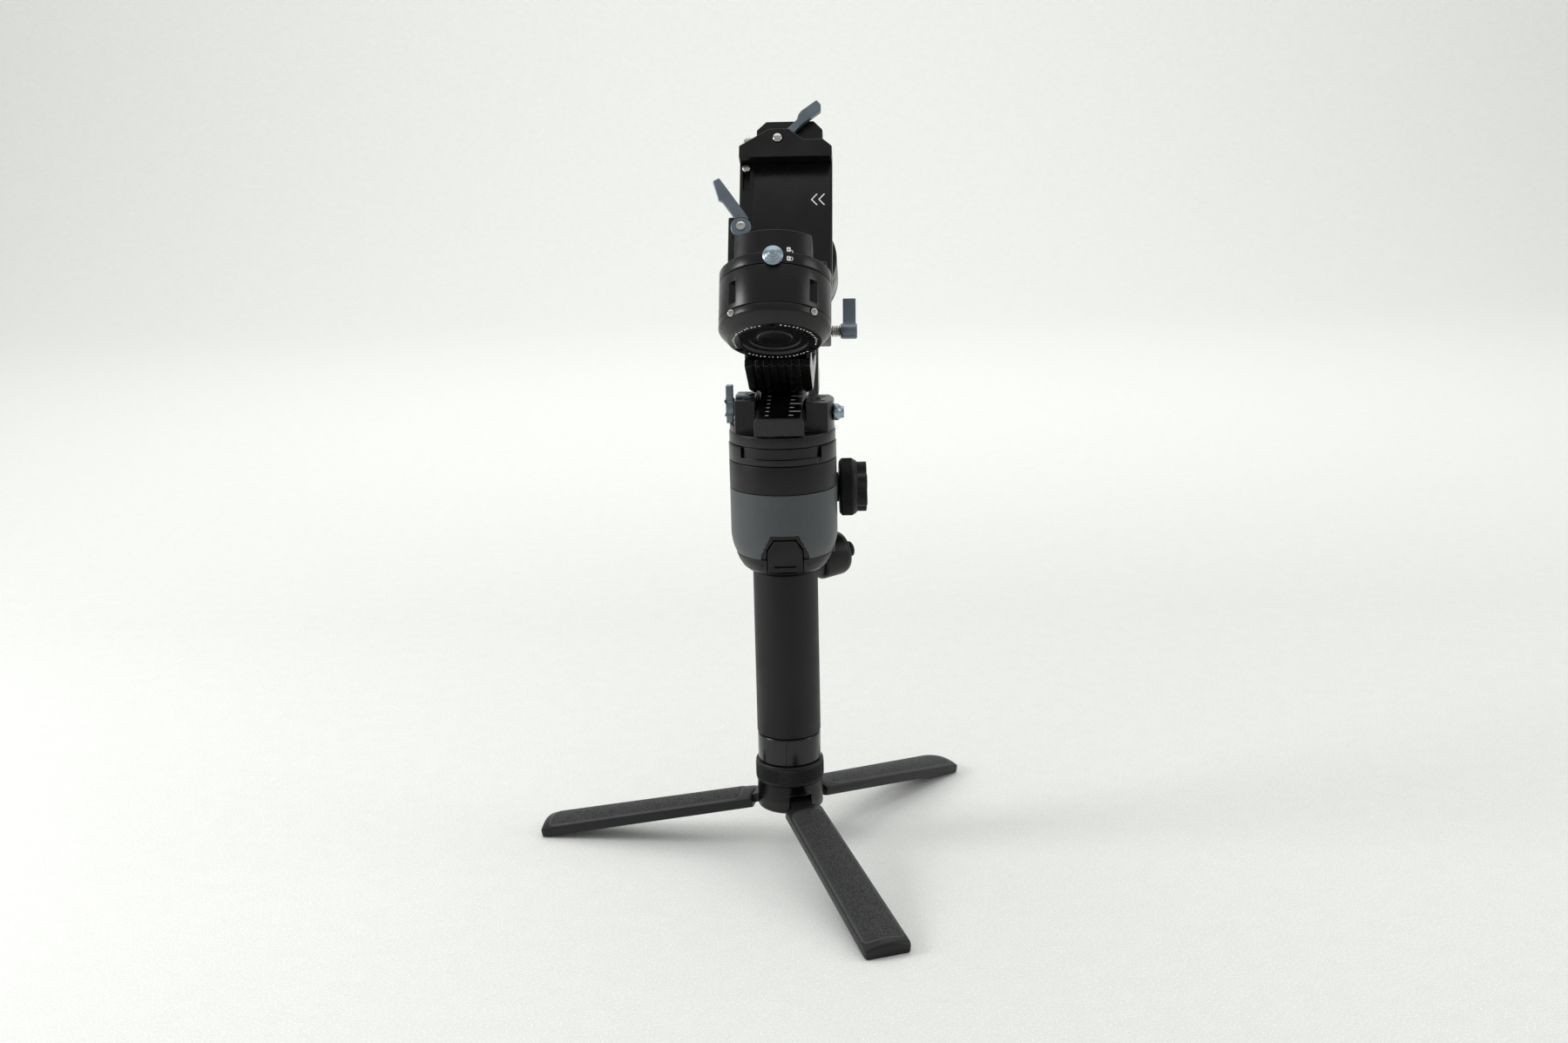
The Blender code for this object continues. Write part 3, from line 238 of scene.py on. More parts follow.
def make_cell():
    """Shrink wrap on a battery cell: blue film with slight wrinkles, and a painted highlight as a paler band
    on their raised crests.
    """
    made = Finish("cell_wrap", "2c5d89", 0.3, grain=1.4, depth=0.02, coat=0.3)
    folds = made.noise(3.0, 2.0, (1.0, 1.0, 0.15))
    # Painted highlight: paler blue on the wrinkles' raised crests.
    made.colour(blend(made.tree, ramp(made.tree, folds, 0.55, 0.6), made.base, lin("6f93b3")))
    made.emboss(folds, 0.05)
    return made.material


def make_turned_steel():
    """Turned stainless steel: bright, with hair-fine tool lines."""
    made = Finish("stainless_steel", "c9c8c4", 0.24, metallic=1.0, grain=0.12, depth=0.002, mottle=0.08)
    lines = made.noise(0.35, 2.0, (1.0, 1.0, 9.0))
    made.emboss(lines, 0.012)
    return made.material


def make_glass():
    """Dark display glass with a faint finger film that breaks the reflection."""
    made = Finish("dark_glass", "07080a", 0.07, grain=3.0, depth=0.001, drift=0.03, coat=1.0)
    film = made.noise(5.0, 4.0)
    made.rough(ramp(made.tree, film, 0.5, 0.7, 0.05, 0.16))
    return made.material


def make_black_alloy():
    """Bead-blasted black anodised aluminium: a soft wide highlight, paler on handled areas."""
    made = Finish("satin_black_alloy", "0b0b0b", 0.3, metallic=0.25, grain=0.22, depth=0.007, mottle=0.1)
    rubbed = made.noise(30.0, 4.0)
    made.colour(blend(made.tree, ramp(made.tree, rubbed, 0.55, 0.8, 0.0, 0.5), made.base, lin("151514")))
    return made.material


def make_slate():
    """Slate-grey moulded nylon with a spark-eroded texture, with painted shade darkening its pits."""
    made = Finish("slate_grey_plastic", "424648", 0.44, grain=0.32, depth=0.016, mottle=0.05)
    pits = made.noise(0.7, 3.0)
    made.emboss(pits, 0.02)
    # Painted shade: colour a tenth darker where the pits sit low.
    made.colour(blend(made.tree, ramp(made.tree, pits, 0.35, 0.6), shade("424648", 0.9), made.base))
    return made.material


def make_finishes():
    """Every material by its slot name, and the white marking ink."""
    made = {
        "satin_black_alloy": make_black_alloy(),
        "slate_grey_plastic": make_slate(),
        "stainless_steel": make_turned_steel(),
        "grained_rubber": make_leather(),
        "dark_glass": make_glass(),
        "enamelled_copper": make_copper(),
        "green_board": make_board(),
        "cell_wrap": make_cell(),
    }
    # Polished black anodising: tight reflections along its chamfers.
    gloss = Finish("gloss_black_alloy", "0e0e0f", 0.24, metallic=0.3, grain=0.4, depth=0.002, coat=0.15)
    # Glass-filled black nylon: even, dry and slightly speckled.
    core = Finish("matte_black_plastic", "0a0a0b", 0.4, grain=0.3, depth=0.014)
    # Soft-touch rubber: broad dull sheen with a very fine skin.
    rubber = Finish("black_soft_rubber", "0a0a0b", 0.5, grain=0.16, depth=0.008, mottle=0.08)
    # Smooth moulded plastic of the legs: a long soft highlight on the side walls.
    leg = Finish("black_leg_plastic", "1a1a1b", 0.4, grain=0.5, depth=0.006)
    # Blue-grey anodised casting of the clamp levers.
    lever = Finish("blue_grey_alloy", "6d777f", 0.34, metallic=0.75, grain=0.2, depth=0.006, mottle=0.06)
    # Paler steel-blue anodising of the lock knobs.
    knob = Finish("steel_blue_alloy", "94a3ad", 0.27, metallic=0.8, grain=0.2, depth=0.004, mottle=0.05)
    # Pad-printed ink: flat white with pinholes.
    ink = Finish("white_ink", "f6f6f2", 0.5, grain=0.12, depth=0.006, mottle=0.05)
    for finish in (core, rubber, leg):
        finish.shader.inputs["Specular IOR Level"].default_value = 0.32
    for finish in (gloss, core, rubber, leg, lever, knob, ink):
        made[finish.material.name] = finish.material
    return made


FINISHES = make_finishes()
BLACK = "satin_black_alloy"
GLOSS = "gloss_black_alloy"
CORE = "matte_black_plastic"
RUBBER = "black_soft_rubber"
GREY_BLUE = "blue_grey_alloy"
STEEL = "stainless_steel"
INK = "white_ink"


# ---------------------------------------------------------------- shaping

def keep(name, bm, place, finish, body, stands_for=(), bevel=0.0, sharp=35.0):
    """Place a millimetre shape, give it its finish, and let it ride on a body."""
    bmesh.ops.transform(bm, matrix=Matrix.Scale(MM, 4) @ place, verts=bm.verts)
    bmesh.ops.recalc_face_normals(bm, faces=bm.faces)
    mesh = bpy.data.meshes.new(name)
    bm.to_mesh(mesh)
    bm.free()
    mesh.materials.append(FINISHES[finish])
    mesh.shade_smooth()
    mesh.set_sharp_from_angle(angle=math.radians(sharp))
    piece = bpy.data.objects.new(name, mesh)
    bpy.context.scene.collection.objects.link(piece)
    if bevel > 0.0:
        edge = piece.modifiers.new("Edges", "BEVEL")
        edge.width = bevel * MM
        edge.segments = 2
        edge.limit_method = "ANGLE"
        edge.angle_limit = math.radians(31.0)
        edge.use_clamp_overlap = False
        edge.harden_normals = True
    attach(piece, body)
    if stands_for:
        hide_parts(*stands_for)
    return piece


def copy_of(name):
    """The solid of a node as a millimetre shape."""
    bm = bmesh.new()
    bm.from_mesh(NODES[name].data)
    bmesh.ops.scale(bm, vec=(1 / MM, 1 / MM, 1 / MM), verts=bm.verts)
    bmesh.ops.remove_doubles(bm, verts=bm.verts, dist=0.002)
    return bm


def refined(node_name, finish, body, bevel=0.35, sharp=35.0):
    """A node redrawn with broken edges."""
    return keep(node_name + "_skin", copy_of(node_name), FLAT, finish, body, (node_name,), bevel, sharp)


def rounded_profile(points, radius):
    """A profile with each bend eased by three points, never past the middle of a side."""
    eased = [Vector(points[0])]
    for before, here, after in zip(points, points[1:], points[2:]):
        before, here, after = Vector(before), Vector(here), Vector(after)
        reach = min(radius, (before - here).length * 0.45, (after - here).length * 0.45)
        start = here + (before - here).normalized() * reach
        end = here + (after - here).normalized() * reach
        eased += [start, start.lerp(end, 0.5).lerp(here, 0.45), end]
    eased.append(Vector(points[-1]))
    return [tuple(point) for point in eased]


def turned(profile, steps=STEPS, ease=0.35, closed=False):
    """A profile of radius and height spun about Z; a closed one makes a ring."""
    points = rounded_profile(list(profile) + ([profile[0]] if closed else []), ease)
    if closed:
        points = points[:-1]
    bm = bmesh.new()
    chain = [bm.verts.new((radius, 0.0, height)) for radius, height in points]
    edges = [bm.edges.new(pair) for pair in zip(chain, chain[1:])]
    if closed:
        edges.append(bm.edges.new((chain[-1], chain[0])))
    bmesh.ops.spin(bm, geom=chain + edges, cent=(0, 0, 0), axis=(0, 0, 1), dvec=(0, 0, 0),
                   angle=2 * math.pi, steps=steps, use_merge=True)
    bmesh.ops.remove_doubles(bm, verts=bm.verts, dist=0.001)
    bmesh.ops.recalc_face_normals(bm, faces=bm.faces)
    return bm


def prism(outline, low, high):
    """An outline in X and Y drawn out from z = low to z = high."""
    bm = bmesh.new()
    face = bm.faces.new([bm.verts.new((x, y, low)) for x, y in outline])
    grown = bmesh.ops.extrude_face_region(bm, geom=[face])
    lifted = [item for item in grown["geom"] if isinstance(item, bmesh.types.BMVert)]
    bmesh.ops.translate(bm, vec=(0, 0, high - low), verts=lifted)
    bmesh.ops.recalc_face_normals(bm, faces=bm.faces)
    return bm


def block(low, high, ease=0.0):
    """A box between two corners, with eased edges."""
    bm = bmesh.new()
    bmesh.ops.create_cube(bm, size=1.0)
    size = Vector(high) - Vector(low)
    bmesh.ops.scale(bm, vec=size, verts=bm.verts)
    bmesh.ops.translate(bm, vec=Vector(low) + size / 2, verts=bm.verts)
    if ease > 0.0:
        bmesh.ops.bevel(bm, geom=bm.edges[:], offset=ease, segments=3, profile=0.5, affect="EDGES",
                        material=-1)
    return bm


def placed(bm, place):
    """The same shape moved."""
    bmesh.ops.transform(bm, matrix=place, verts=bm.verts)
    return bm


def together(*shapes):
    """Several shapes as one loose set."""
    whole = shapes[0]
    for shape in shapes[1:]:
        mesh = bpy.data.meshes.new("loose")
        shape.to_mesh(mesh)
        shape.free()
        whole.from_mesh(mesh)
        bpy.data.meshes.remove(mesh)
    return whole


def cut(shape):
    """A carve step that takes a shape away."""
    return ("DIFFERENCE", shape)


def join(shape):
    """A carve step that adds a shape."""
    return ("UNION", shape)


def meet(shape):
    """A carve step that keeps what lies in both."""
    return ("INTERSECT", shape)


def carve(bm, *steps):
    """Cut, join or intersect shapes, in the order of the steps."""
    made = []
    for shape in (bm,) + tuple(step[1] for step in steps):
        mesh = bpy.data.meshes.new("work")
        shape.to_mesh(mesh)
        shape.free()
        item = bpy.data.objects.new("work", mesh)
        bpy.context.scene.collection.objects.link(item)
        made.append(item)
    for (operation, _), tool in zip(steps, made[1:]):
        step = made[0].modifiers.new("Carve", "BOOLEAN")
        step.operation = operation
        step.solver = "EXACT"
        step.object = tool
    view = bpy.context.evaluated_depsgraph_get()
    result = bmesh.new()
    result.from_mesh(made[0].evaluated_get(view).data)
    for item in made:
        mesh = item.data
        bpy.data.objects.remove(item, do_unlink=True)
        bpy.data.meshes.remove(mesh)
    bmesh.ops.remove_doubles(result, verts=result.verts, dist=0.02)
    bmesh.ops.dissolve_limit(result, angle_limit=math.radians(0.4), verts=result.verts, edges=result.edges)
    return result


def disc(radius, centre=(0.0, 0.0), count=SMALL_STEPS):
    """A round outline."""
    return [(centre[0] + radius * math.cos(2 * math.pi * k / count),
             centre[1] + radius * math.sin(2 * math.pi * k / count)) for k in range(count)]


def soft_box(width, depth, radius, centre=(0.0, 0.0), steps=6):
    """A rectangle outline with round corners."""
    points = []
    for corner, (sx, sy) in enumerate(((1, 1), (-1, 1), (-1, -1), (1, -1))):
        for step in range(steps + 1):
            angle = math.pi / 2 * (corner + step / steps)
            points.append((centre[0] + sx * (width / 2 - radius) + radius * math.cos(angle),
                           centre[1] + sy * (depth / 2 - radius) + radius * math.sin(angle)))
    return points


def hex_socket(radius, depth):
    """A six-sided tool for sinking a key socket from z = 0 downward."""
    return prism(disc(radius, count=6), -depth, 2.0)


def screw_head(radius, height, socket):
    """A cap screw's head standing on z = 0 with a key socket in its top."""
    head = turned([(0, 0), (radius, 0), (radius, height), (0, height)], SMALL_STEPS, 0.25)
    return carve(head, cut(placed(hex_socket(socket, height * 0.6), Matrix.Translation((0, 0, height)))))


def knurl(radius, low, high, count, height=0.45):
    """Small four-sided points set in staggered rows round a cylinder about Z."""
    half = math.pi * radius / count
    rows = max(1, int((high - low) / half) - 1)
    bm = bmesh.new()
    for row in range(rows):
        z = low + half + row * (high - low - 2 * half) / max(1, rows - 1)
        for column in range(count):
            angle = 2 * math.pi * (column + 0.5 * (row % 2)) / count
            place = (Matrix.Rotation(angle, 4, "Z") @ Matrix.Translation((radius + height / 2 - 0.05, 0, z))
                     @ Matrix.Rotation(math.pi / 2, 4, "Y"))
            bmesh.ops.create_cone(bm, cap_ends=False, segments=4, radius1=half, radius2=half * 0.22,
                                  depth=height, matrix=place)
    return bm


# ---------------------------------------------------------------- tripod

def leg_width(distance):
    """Leg width at a distance from its pin."""
    return 22.6 + 4.4 * (distance - LEG_START) / (LEG_END - LEG_START)


def arch(y, full):
    """Height of the leg's arched top at y, for a half width."""
    return 4.5 * (1 - 0.62 * (y / full) ** 2)


def make_leg(index, place):
    """Leg beam with an arched top, drawn along X from the hub to its lens-shaped tip."""
    outline = [(-11.3, -3.4), (-10.6, -4.3), (-9.2, -4.5), (9.2, -4.5), (10.6, -4.3), (11.3, -3.4),
               (11.35, 0.6)]
    for k in range(17):
        y = 11.1 * (1 - k / 8)
        outline.append((y, arch(y, 11.1) - 0.25))
    outline.append((-11.35, 0.6))
    bm = placed(prism(outline, LEG_START, LEG_END), SWEEP)
    ends = ((LEG_START, 0.96, 0.84), (LEG_START + 1.0, 1.0, 0.95), (LEG_START + 4.0, 1.0, 1.0),
            (80.0, 1.0, 1.0), (LEG_END - 3.2, 1.0, 1.0), (LEG_END - 1.6, 0.99, 0.97),
            (LEG_END - 0.5, 0.965, 0.91), (LEG_END, 0.93, 0.84))
    for distance, _, _ in ends[1:-1]:
        bmesh.ops.bisect_plane(bm, geom=bm.verts[:] + bm.edges[:] + bm.faces[:], dist=0.001,
                               plane_co=(distance, 0, 0), plane_no=(1, 0, 0))
    for vert in bm.verts:
        distance, wide, tall = min(ends, key=lambda station: abs(station[0] - vert.co.x))
        vert.co.y *= leg_width(distance) / leg_width(LEG_START) * wide
        vert.co.z = (vert.co.z + 4.5) * tall - 4.5
    tongue = [(LEG_START + 4.0, -3.0), (LEG_START + 4.0, 2.2)]
    tongue += [(2.9 * math.sin(-math.pi * k / 12), 2.9 * math.cos(math.pi * k / 12)) for k in range(13)]
    lug = placed(prism(tongue, -6.3, 6.3), FRONT)
    bore = placed(prism(disc(1.6), -12.0, 12.0), FRONT)
    leg = carve(bm, join(lug), cut(bore))
    body = f"leg_{index}"
    keep(f"tripod_leg_{index}_body", leg, place, "black_leg_plastic", body, (f"tripod_leg_{index}",), 0.0,
            40.0)
    pad = bmesh.new()
    pad.loops.layers.uv.new("UVMap")
    bmesh.ops.create_grid(pad, x_segments=60, y_segments=24, size=1.0, calc_uvs=True)
    low = LEG_START + 6.5
    high = LEG_END - 4.6
    for vert in pad.verts:
        across = vert.co.y
        turn = max(0.0, (abs(across) - 0.55) / 0.45)
        inset = 4.2 * (1.0 - math.sqrt(max(0.0, 1.0 - turn * turn)))
        distance = (low + inset) + (high - low - 2 * inset) * (vert.co.x + 1) / 2
        half = leg_width(distance) / 2
        y = across * (half - 0.8)
        edge = min(1.0, (1.0 - abs(across)) * 9.0, (1.0 - abs(vert.co.x)) * 45.0)
        vert.co = (distance, y, arch(y, half * 0.97) - 0.12 + 0.3 * math.sqrt(max(0.0, edge)))
    bmesh.ops.solidify(pad, geom=pad.faces[:], thickness=0.5)
    keep(f"leg_pad_{index}_hide", pad, place, "grained_rubber", body, (f"leg_pad_{index}",), 0.0, 50.0)


def make_tripod():
    """Hub, legs and knurled ring."""
    hub = turned([(0, 28.4), (HUB_R - 1.2, 28.4), (HUB_R, 29.6), (HUB_R, 45.8), (18.4, 45.8), (18.4, 50.1),
                  (7.3, 50.1), (7.3, 46.1), (0, 46.1)], ease=0.3)
    slots = []
    places = []
    for index in range(3):
        angle = math.radians(-71.2 + 120.0 * index)
        upright = (Matrix.Rotation(angle, 4, "Z") @ Matrix.Translation((12.5, 0, 34.3)))
        places.append(HANDLE @ upright @ Matrix.Rotation(math.radians(11.5), 4, "Y"))
        slots.append(cut(placed(block((-3.4, -6.8, -8.0), (12.0, 6.8, 5.2)), upright)))
        slots.append(cut(placed(prism(disc(1.6), -9.4, 9.4), upright @ FRONT)))
    keep("tripod_hub_body", carve(hub, *slots), HANDLE, BLACK, "handle", ("tripod_hub",), 0.3)
    for index, place in enumerate(places):
        make_leg(index + 1, place)
    ring = turned([(8.8, 50.4), (18.7, 50.4), (18.7, 46.1), (RING_R - 0.5, 46.1), (RING_R - 0.1, 46.6),
                   (RING_R - 0.4, 47.2), (RING_R - 0.4, 56.4), (RING_R - 0.1, 57.2), (RING_R - 0.6,
                           58.4), (8.8, 58.4)],
                  ease=0.2, closed=True)
    keep("lock_ring_body", ring, HANDLE, RUBBER, "lock_ring", ("tripod_lock_ring",))
    keep("lock_ring_knurl", knurl(RING_R - 0.4, 47.3, 56.3, 74), HANDLE, RUBBER, "lock_ring",
         sharp=20.0)


# ---------------------------------------------------------------- handle and body

def make_handle():
    """Glossy collar with its parting line, and the two rubber grip covers."""
    collar = turned([(5.1, 58.7), (18.6, 58.7), (19.0, 59.1), (19.0, 74.8), (18.3, 75.6), (6.8, 75.6), (6.8,
            70.7),
                     (5.1, 70.7)], closed=True)
    line = block((-2.1, -25.0, 50.0), (-1.6, -18.6, 80.0))
    keep("collar_body", carve(collar, cut(line)), HANDLE, GLOSS, "handle",
         ("handle_collar",), 0.15)
    profile = [(16.8, 75.9), (18.6, 75.9), (GRIP_R, 76.6), (GRIP_R, 177.2), (18.6, 178.0), (16.8, 178.0)]
    for name, away in (("front", 1), ("rear", -1)):
        cover = turned(profile, closed=True)
        made = bmesh.ops.bisect_plane(cover, geom=cover.verts[:] + cover.edges[:] + cover.faces[:],
                dist=0.001,
                                      plane_co=(0, 9.15 - 0.22 * away, 0), plane_no=(0, away,
                                              0), clear_outer=True)
        rims = [item for item in made["geom_cut"] if isinstance(item, bmesh.types.BMEdge)]
        bmesh.ops.holes_fill(cover, edges=rims, sides=0)
        keep(f"grip_{name}_skin", cover, HANDLE, RUBBER, "handle", (f"grip_cover_{name}",), 0.35)


def body_profile(inset, count=18):
    """Outer profile of the body below the band, inset by a wall thickness."""
    radius = BODY_R - inset
    neck = GRIP_R + 0.6 - inset * 0.3
    points = [(radius, BAND_BOTTOM - GAP)]
    for k in range(count):
        angle = math.pi / 2 * k / (count - 1)
        points.append((neck + (radius - neck) * math.cos(angle) ** 0.8,
                       203.0 - (203.0 - SHELL_BOTTOM) * math.sin(angle)))
    return points


BEZEL = [(-14.0, 170.0), (14.0, 170.0), (13.6, 192.0), (8.0, 204.5), (-8.0, 204.5), (-13.6, 192.0)]
POCKET = [(-10.6, 180.4), (10.6, 180.4), (10.6, 195.6), (6.4, 202.2), (-6.4, 202.2), (-10.6, 195.6)]


def grown(outline, amount, centre=(0.0, 190.0)):
    """An outline pushed out from its centre by a distance along each axis."""
    moved = []
    for x, z in outline:
        moved.append((x + math.copysign(amount, x - centre[0]), z + math.copysign(amount, z - centre[1])))
    return moved


def make_body():
    """Band and core, slate shell, trigger bezel and trigger."""
    core = [(0, 179.0), (19.0, 179.0), (19.4, 183.5)]
    core += body_profile(2.7)[::-1]
    core += [(28.7, BAND_BOTTOM), (BODY_R - 0.2, BAND_BOTTOM), (BODY_R, BAND_BOTTOM + 0.4), (BODY_R, 244.7),
             (BODY_R - 0.5, 245.2), (0, 245.2)]
    back = block((-29.0, 9.0, 170.0), (33.0, 60.0, 240.0))
    hole = placed(prism(POCKET, 18.6, 60.0), FRONT)
    keep("body_core_skin", carve(turned(core, ease=0.15), cut(back), cut(hole)), HANDLE,
         CORE, "handle", ("body_core",), 0.25)
    shell = turned(body_profile(0.0) + body_profile(2.4)[::-1], ease=0.25, closed=True)
    behind = block((-50.0, 8.7, 170.0), (50.0, 60.0, 240.0))
    mouth = placed(prism(BEZEL, 10.0, 60.0), FRONT)
    keep("body_shell_skin", carve(shell, cut(behind), cut(mouth)), HANDLE,
         "slate_grey_plastic", "handle", ("body_shell",), 0.4)
    chin = turned([(19.7, 178.4), (21.6, 178.7), (24.8, 181.4), (27.2, 185.4), (28.5, 188.9), (28.2, 189.4),
                   (26.0, 188.6), (19.7, 184.6)], ease=0.4, closed=True)
    keep("shell_chin", carve(chin, cut(block((-50.0, 8.7, 170.0), (50.0, 60.0, 240.0))),
                             cut(placed(prism(POCKET, 10.0, 60.0), FRONT))), HANDLE,
         CORE, "handle", bevel=0.2)
    bezel = turned(body_profile(0.5) + body_profile(2.6)[::-1], ease=0.2, closed=True)
    outside = placed(prism(grown(BEZEL, -0.35), 10.0, 60.0), FRONT)
    inside = placed(prism(POCKET, 10.0, 60.0), FRONT)
    keep("trigger_bezel", carve(bezel, meet(outside), cut(inside)), HANDLE,
         CORE, "handle", bevel=0.4)
    hinge = at(HANDLE, *TRIGGER_HINGE)
    outline = [(-10.0, -18.8), (10.0, -18.8), (10.0, -4.8), (6.0, 1.6), (-6.0, 1.6), (-10.0, -4.8)]
    nose = [(-12.0, -10.0), (-12.0, -24.0), (-3.6, -24.0), (-3.6, -19.2), (-9.4, -8.0)]
    slope = placed(prism(nose, -20.0, 20.0), SWEEP)
    groove = block((-6.2, -9.0, -15.4), (6.2, -5.2, -14.5))
    trigger = carve(placed(prism(outline, 0.0, 9.2), FRONT), cut(slope), cut(groove))
    keep("trigger_skin", trigger, hinge, CORE, "trigger", ("trigger",), 0.5)


def make_rear():
    """Rear housing with its window, buttons and cover, the focus wheel and the thumb pod."""
    refined("rear_housing", "slate_grey_plastic", "handle", 0.6)
    refined("display_window", "dark_glass", "handle", 0.3)
    refined("port_cover", RUBBER, "port_cover", 0.35)
    for name, x in (("mode_button", -14.0), ("menu_button", 1.2), ("power_button", 16.4)):
        cap = turned([(0, -1.6), (4.1, -1.6), (4.1, 1.8), (3.5, 2.2), (1.2, 1.7), (0, 1.6)], SMALL_STEPS,
                0.25)
        keep(name + "_cap", cap, at(HANDLE, x, 38.0, 221.0, FRONT), RUBBER, name, (name,))
    axis = at(HANDLE, 33.4, 24.0, 220.5, ALONG_X)
    rim = turned([(0, 0), (15.4, 0), (16.9, 1.2), (16.9, 8.4), (15.6, 10.4), (0, 10.4)], ease=0.3)
    waves = []
    for k in range(144):
        angle = 2 * math.pi * k / 144
        radius = 11.5 + 3.7 * (0.5 + 0.5 * math.cos(6 * angle)) ** 0.7
        waves.append((radius * math.cos(angle), radius * math.sin(angle)))
    cap = prism(waves, 9.0, 16.4)
    bore = prism(disc(6.3), 11.0, 20.0)
    keep("focus_wheel_body", carve(rim, join(cap), cut(bore)), axis, RUBBER,
         "focus_wheel", ("focus_wheel",), 0.5)
    keep("focus_wheel_knurl", knurl(16.9, 1.3, 8.2, 58, 0.5), axis, RUBBER, "focus_wheel", sharp=20.0)
    hub = turned([(0, 11.4), (5.8, 11.4), (5.8, 13.6), (4.8, 14.4), (2.2, 14.4), (1.8, 13.6), (0, 13.6)],
                 SMALL_STEPS)
    keep("focus_wheel_boss", hub, axis, GREY_BLUE, "focus_wheel", ("focus_wheel_hub",))
    make_thumb_pod()


def make_thumb_pod():
    """Round pod behind the neck with the toothed thumb stick on its face."""
    turn = Matrix.Rotation(math.radians(30.0), 4, "Z") @ Matrix.Rotation(math.radians(85.0), 4, "Y")
    axis = at(HANDLE, 18.0, 18.0, 178.0, turn)
    inward = axis.inverted() @ HANDLE
    pod = turned([(0, 0), (12.0, 0), (13.4, 2.0), (13.4, 15.8), (12.2, 18.8), (8.2, 19.8), (8.2, 17.0), (0,
            17.0)],
                 72, 0.8)
    neck = turned([(0, 100), (19.5, 100), (19.5, 178.7), (27.2, 178.7), (27.2, 240), (0, 240)], 72, 0.01)
    over = block((-60.0, -60.0, 183.7), (30.5, 38.3, 260.0))
    keep("thumb_pod_skin", carve(pod, cut(placed(neck, inward)), cut(placed(over, inward))),
         axis, CORE, "handle", ("thumb_pod",), 0.2)
    stick = at(axis, 0, 0, 18.4)
    cap = turned([(0, 0.2), (3.2, 0.2), (3.2, 4.2), (4.2, 5.0), (4.2, 7.0), (3.6, 7.8), (1.5, 7.3), (0, 7.2)],
                 SMALL_STEPS)
    teeth = bmesh.new()
    for k in range(16):
        tooth = block((3.8, -0.45, 5.0), (4.7, 0.45, 7.2), 0.15)
        placed(tooth, Matrix.Rotation(math.radians(22.5 * k), 4, "Z"))
        teeth = together(teeth, tooth)
    keep("thumb_stick_cap", together(cap, teeth), stick, RUBBER, "thumb_stick", ("thumb_stick",))


# ---------------------------------------------------------------- pan axis

def rotor_profile(low, shaft_low):
    """A rotor disc on its shaft, up to the disc's top face."""
    top = low + 6.6
    return [(0, shaft_low), (6.0, shaft_low), (6.0, low), (MOTOR_R - 0.4, low), (MOTOR_R, low + 0.4),
            (MOTOR_R, top - 0.6), (MOTOR_R - 0.6, top), (0, top)]


def tower(inner_x, half_angle, count=24):
    """The part of the pan rotor's round outline outside x = inner_x."""
    side = math.copysign(1.0, inner_x)
    radius = MOTOR_R - 0.5
    points = []
    for k in range(count + 1):
        angle = half_angle * (2 * k / count - 1)
        points.append((side * radius * math.cos(angle), radius * math.sin(angle)))
    reach = radius * math.sin(half_angle)
    return points + [(inner_x, reach), (inner_x, -reach)]


